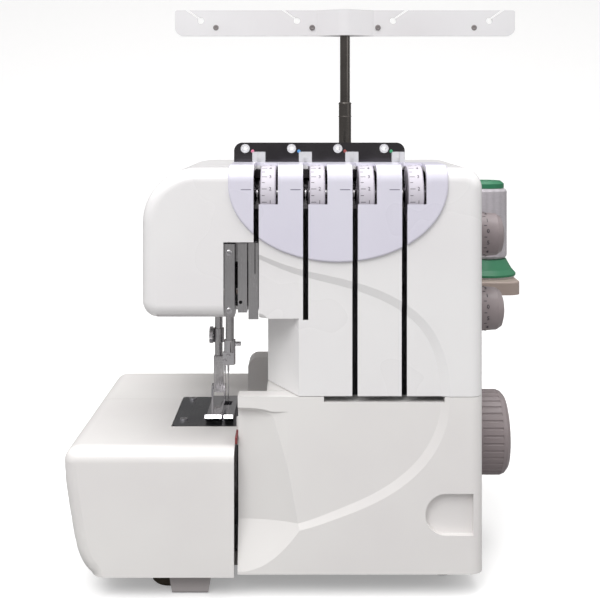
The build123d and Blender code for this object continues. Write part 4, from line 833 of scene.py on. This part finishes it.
@dataclass
class Spool:
    """Thread wound on the loaded spool, in shallow ridges with rounded shoulders."""

    ridges: int = 46
    groove: float = 0.00022
    shoulder: float = 0.0030
    sides: int = 72

    def windings(self) -> bpy.types.Object:
        """Makes the wound thread by extruding ring after ring.

        Returns:
            The windings, which stand for the plain CAD thread.
        """
        low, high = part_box("spool_thread")
        x, y = (low[0] + high[0]) / 2, (low[1] + high[1]) / 2
        radius = (high[0] - low[0]) / 2
        bpy.ops.object.select_all(action="DESELECT")
        bpy.ops.mesh.primitive_circle_add(vertices=self.sides, radius=radius - self.shoulder, fill_type="NGON",
                                          location=(x, y, low[2]))
        wound = settle(start("spool_windings"))
        bpy.ops.object.mode_set(mode="EDIT")
        bpy.ops.mesh.select_all(action="SELECT")
        steps = self.ridges * 2
        rise = (high[2] - low[2]) / steps
        now = radius - self.shoulder
        for k in range(1, steps + 1):
            z = low[2] + (high[2] - low[2]) * k / steps
            edge = min(z - low[2], high[2] - z)
            round_in = self.shoulder * (1 - min(1.0, edge / self.shoulder)) ** 2
            want = radius - round_in - (self.groove if k % 2 else 0.0)
            bpy.ops.mesh.extrude_region_move(TRANSFORM_OT_translate={"value": (0, 0, rise)})
            grow = want / now
            bpy.ops.transform.resize(value=(grow, grow, 1), center_override=(x, y, z))
            now = want
        bpy.ops.mesh.select_all(action="SELECT")
        bpy.ops.mesh.normals_make_consistent(inside=False)
        bpy.ops.object.mode_set(mode="OBJECT")
        bpy.ops.object.shade_smooth_by_angle(angle=math.radians(50))
        return wound

    def build(self) -> None:
        """Builds the windings."""
        piece = self.windings()
        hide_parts("spool_thread")
        finish_piece(piece, THREAD_SHADED, "spool")


@dataclass
class NeedleOpening:
    """Screws on the steel strips in the head's opening."""

    screw_r: float = 0.0021
    head_deep: float = 0.0012
    head_out: float = 0.0005
    slot_half: float = 0.00028
    slot_out: float = 0.0018
    slot_in: float = 0.0009
    edge: float = 0.0032
    drop: float = 0.006
    rise: float = 0.007
    turns: tuple[float, float] = (0.5, -0.4)

    def screw(self, name: str, x: float, y: float, z: float, turn: float) -> bpy.types.Object:
        """Makes one slotted screw head facing forwards.

        Args:
            name: The piece's name.
            x: Its place across.
            y: The strip's front face.
            z: Its height.
            turn: The slot's angle.

        Returns:
            The screw head.
        """
        bpy.ops.object.select_all(action="DESELECT")
        bpy.ops.mesh.primitive_cylinder_add(vertices=28, radius=self.screw_r, depth=self.head_deep,
                                            location=(x, y - self.head_out, z), rotation=(math.pi / 2, 0, 0))
        head = settle(start(name))
        pick_faces(head, lambda middle, normal: normal.y < -0.9)
        bpy.ops.mesh.inset(thickness=self.screw_r * 0.25, depth=0.0002)
        bpy.ops.object.mode_set(mode="OBJECT")
        half = self.screw_r * 1.2
        slot = plate(name + "_slot", (-half, y - self.slot_out, -self.slot_half),
                     (half, y - self.slot_in, self.slot_half))
        slot.rotation_euler = (0, turn, 0)
        slot.location = (x, 0, z)
        settle(slot)
        cut = head.modifiers.new("slot", "BOOLEAN")
        cut.operation = "DIFFERENCE"
        cut.object = slot
        bpy.context.view_layer.objects.active = head
        bpy.ops.object.modifier_apply(modifier="slot")
        bpy.data.objects.remove(slot)
        bpy.ops.object.select_all(action="DESELECT")
        head.select_set(True)
        return bevelled(head, 0.00012, 1)

    def build(self) -> None:
        """Builds the screws."""
        low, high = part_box("take_up_cover")
        heights = (high[2] - self.drop, low[2] + self.rise)
        for k, (z, turn) in enumerate(zip(heights, self.turns)):
            head = self.screw(f"take_up_screw_{k + 1}", low[0] + self.edge, low[1], z, turn)
            finish_piece(head, CHROME, "machine")


@dataclass
class SwitchMarks:
    """The on and off signs on the power switch."""

    size: float = 0.0042
    from_end: float = 0.0045
    low_slope: float = 0.0020
    high_slope: float = 0.0014
    proud: float = 0.00006

    def build(self) -> None:
        """Builds both signs."""
        low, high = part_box("power_switch")
        y = (low[1] + high[1]) / 2
        x = max(v.co.x for v in NODES["power_switch"].data.vertices)
        signs = (("switch_on_mark", "1", high[2] - self.from_end), ("switch_off_mark", "0", low[2] + self.from_end))
        for name, sign, z in signs:
            share = (z - low[2]) / (high[2] - low[2])
            face_x = x - self.low_slope * min(1.0, share * 2) - self.high_slope * max(0.0, share * 2 - 1)
            mark = lettered(name, sign, self.size, (face_x + self.proud, y, z), (math.pi / 2, 0, math.pi / 2))
            finish_piece(mark, BAR, "power_switch")


# ---------------------------------------------------------------- studio
@dataclass
class Studio:
    """Pale floor that curves up behind, soft lights and a level camera."""

    eye: tuple[float, float, float] = (-0.0115, -0.7876, 0.3216)
    lens: float = 60.6
    shift_x: float = -0.0017
    shift_y: float = -0.3033
    floor_half: float = 2.4
    wall_top: float = 2.6
    cove: float = 1.0

    def paper(self) -> bpy.types.Material:
        """Makes the floor's paper, which glows a little where it is seen and bounces little light.

        Returns:
            The material.
        """
        made = bpy.data.materials.new("pale_paper")
        made.use_nodes = True
        tree = made.node_tree
        shader = tree.nodes["Principled BSDF"]
        seen = tree.nodes.new("ShaderNodeLightPath").outputs["Is Camera Ray"]
        fibre = Effects.spread(tree, Effects.noise(tree, 60.0, 3.0), 0.985, 1.0)
        tone = Effects.math(tree, "MULTIPLY", fibre, Effects.spread(tree, seen, 0.30, 0.86, 0.0, 1.0))
        tree.links.new(tone, shader.inputs["Base Color"])
        shader.inputs["Roughness"].default_value = 0.9
        shader.inputs["Specular IOR Level"].default_value = 0.0
        shader.inputs["Emission Color"].default_value = (1, 1, 1, 1)
        tree.links.new(Effects.spread(tree, seen, 0.0, 0.30, 0.0, 1.0), shader.inputs["Emission Strength"])
        return made

    def floor(self) -> None:
        """Lays the floor and bends it up into a wall far behind."""
        bpy.ops.object.select_all(action="DESELECT")
        bpy.ops.mesh.primitive_plane_add(size=2 * self.floor_half, location=(0, 0, 0))
        sheet = bpy.context.object
        sheet.name = "studio_floor"
        bpy.ops.object.mode_set(mode="EDIT")
        bpy.ops.mesh.select_all(action="DESELECT")
        bpy.ops.object.mode_set(mode="OBJECT")
        for edge in sheet.data.edges:
            edge.select = all(sheet.data.vertices[i].co.y > 0 for i in edge.vertices)
        bpy.ops.object.mode_set(mode="EDIT")
        bpy.ops.mesh.select_mode(type="EDGE")
        bpy.ops.mesh.extrude_region_move(TRANSFORM_OT_translate={"value": (0, 0, self.wall_top)})
        bpy.ops.object.mode_set(mode="OBJECT")
        for edge in sheet.data.edges:
            ends = [sheet.data.vertices[i].co for i in edge.vertices]
            edge.select = all(v.y > 0 and v.z < 0.01 for v in ends)
        bpy.ops.object.mode_set(mode="EDIT")
        bpy.ops.mesh.bevel(offset=self.cove, segments=24)
        bpy.ops.object.mode_set(mode="OBJECT")
        bpy.ops.object.shade_smooth()
        sheet.data.materials.append(self.paper())

    def world(self) -> None:
        """Sets a surround that is bright overhead and dimmer at the horizon."""
        world = bpy.data.worlds.new("studio_surround")
        world.use_nodes = True
        tree = world.node_tree
        back = tree.nodes["Background"]
        place = tree.nodes.new("ShaderNodeTexCoord")
        split = tree.nodes.new("ShaderNodeSeparateXYZ")
        tree.links.new(place.outputs["Generated"], split.inputs[0])
        back.inputs["Color"].default_value = (1.0, 0.99, 0.985, 1)
        glow = Effects.spread(tree, split.outputs["Z"], 0.30, 1.05, -0.1, 0.8)
        seen = tree.nodes.new("ShaderNodeLightPath").outputs["Is Camera Ray"]
        tree.links.new(Effects.math(tree, "MAXIMUM", glow, seen), back.inputs["Strength"])
        bpy.context.scene.world = world

    def light(self, name: str, place: Sequence[float], target: Sequence[float], size: float, power: float) -> None:
        """Adds one soft square area light.

        Args:
            name: The light's name.
            place: Where it stands.
            target: What it points at.
            size: Its side.
            power: Its power in watts.
        """
        data = bpy.data.lights.new(name, "AREA")
        data.shape = "SQUARE"
        data.size = size
        data.energy = power
        lamp = bpy.data.objects.new(name, data)
        bpy.context.scene.collection.objects.link(lamp)
        lamp.location = place
        aim = Vector(target) - Vector(place)
        lamp.rotation_euler = aim.to_track_quat("-Z", "Y").to_euler()

    def camera(self) -> None:
        """Stands the camera level in front of the sewing head, shifted down to take in the whole machine."""
        data = bpy.data.cameras.new("studio_camera")
        data.lens = self.lens
        data.sensor_width = 36.0
        data.shift_x = self.shift_x
        data.shift_y = self.shift_y
        data.clip_start = 0.05
        data.clip_end = 30
        eye = bpy.data.objects.new("studio_camera", data)
        bpy.context.scene.collection.objects.link(eye)
        eye.location = self.eye
        eye.rotation_euler = (math.pi / 2, 0, 0)
        bpy.context.scene.camera = eye

    def build(self) -> None:
        """Builds the whole studio."""
        self.floor()
        self.world()
        self.light("key_light", (-0.55, -1.15, 1.35), (0, 0, 0.25), 0.9, 13)
        self.light("top_light", (0.1, -0.15, 1.7), (0, 0, 0.2), 1.2, 12)
        self.light("right_fill", (1.5, -0.8, 0.8), (0.05, 0, 0.2), 0.9, 2.5)
        self.camera()
        bpy.context.scene.view_settings.view_transform = "Standard"
        log.info("studio: floor, surround, three lights and camera")


def main() -> None:
    """Builds every sub-assembly in order."""
    logging.basicConfig(level=logging.INFO, format="%(message)s")
    Studio().build()
    dress_frame()
    for assembly in (TensionDials(), SideDials(), GuidePlate(), ThreadBar(), Mast(), Spool(), NeedleOpening(),
                     SwitchMarks()):
        assembly.build()


if __name__ == "__main__":
    main()
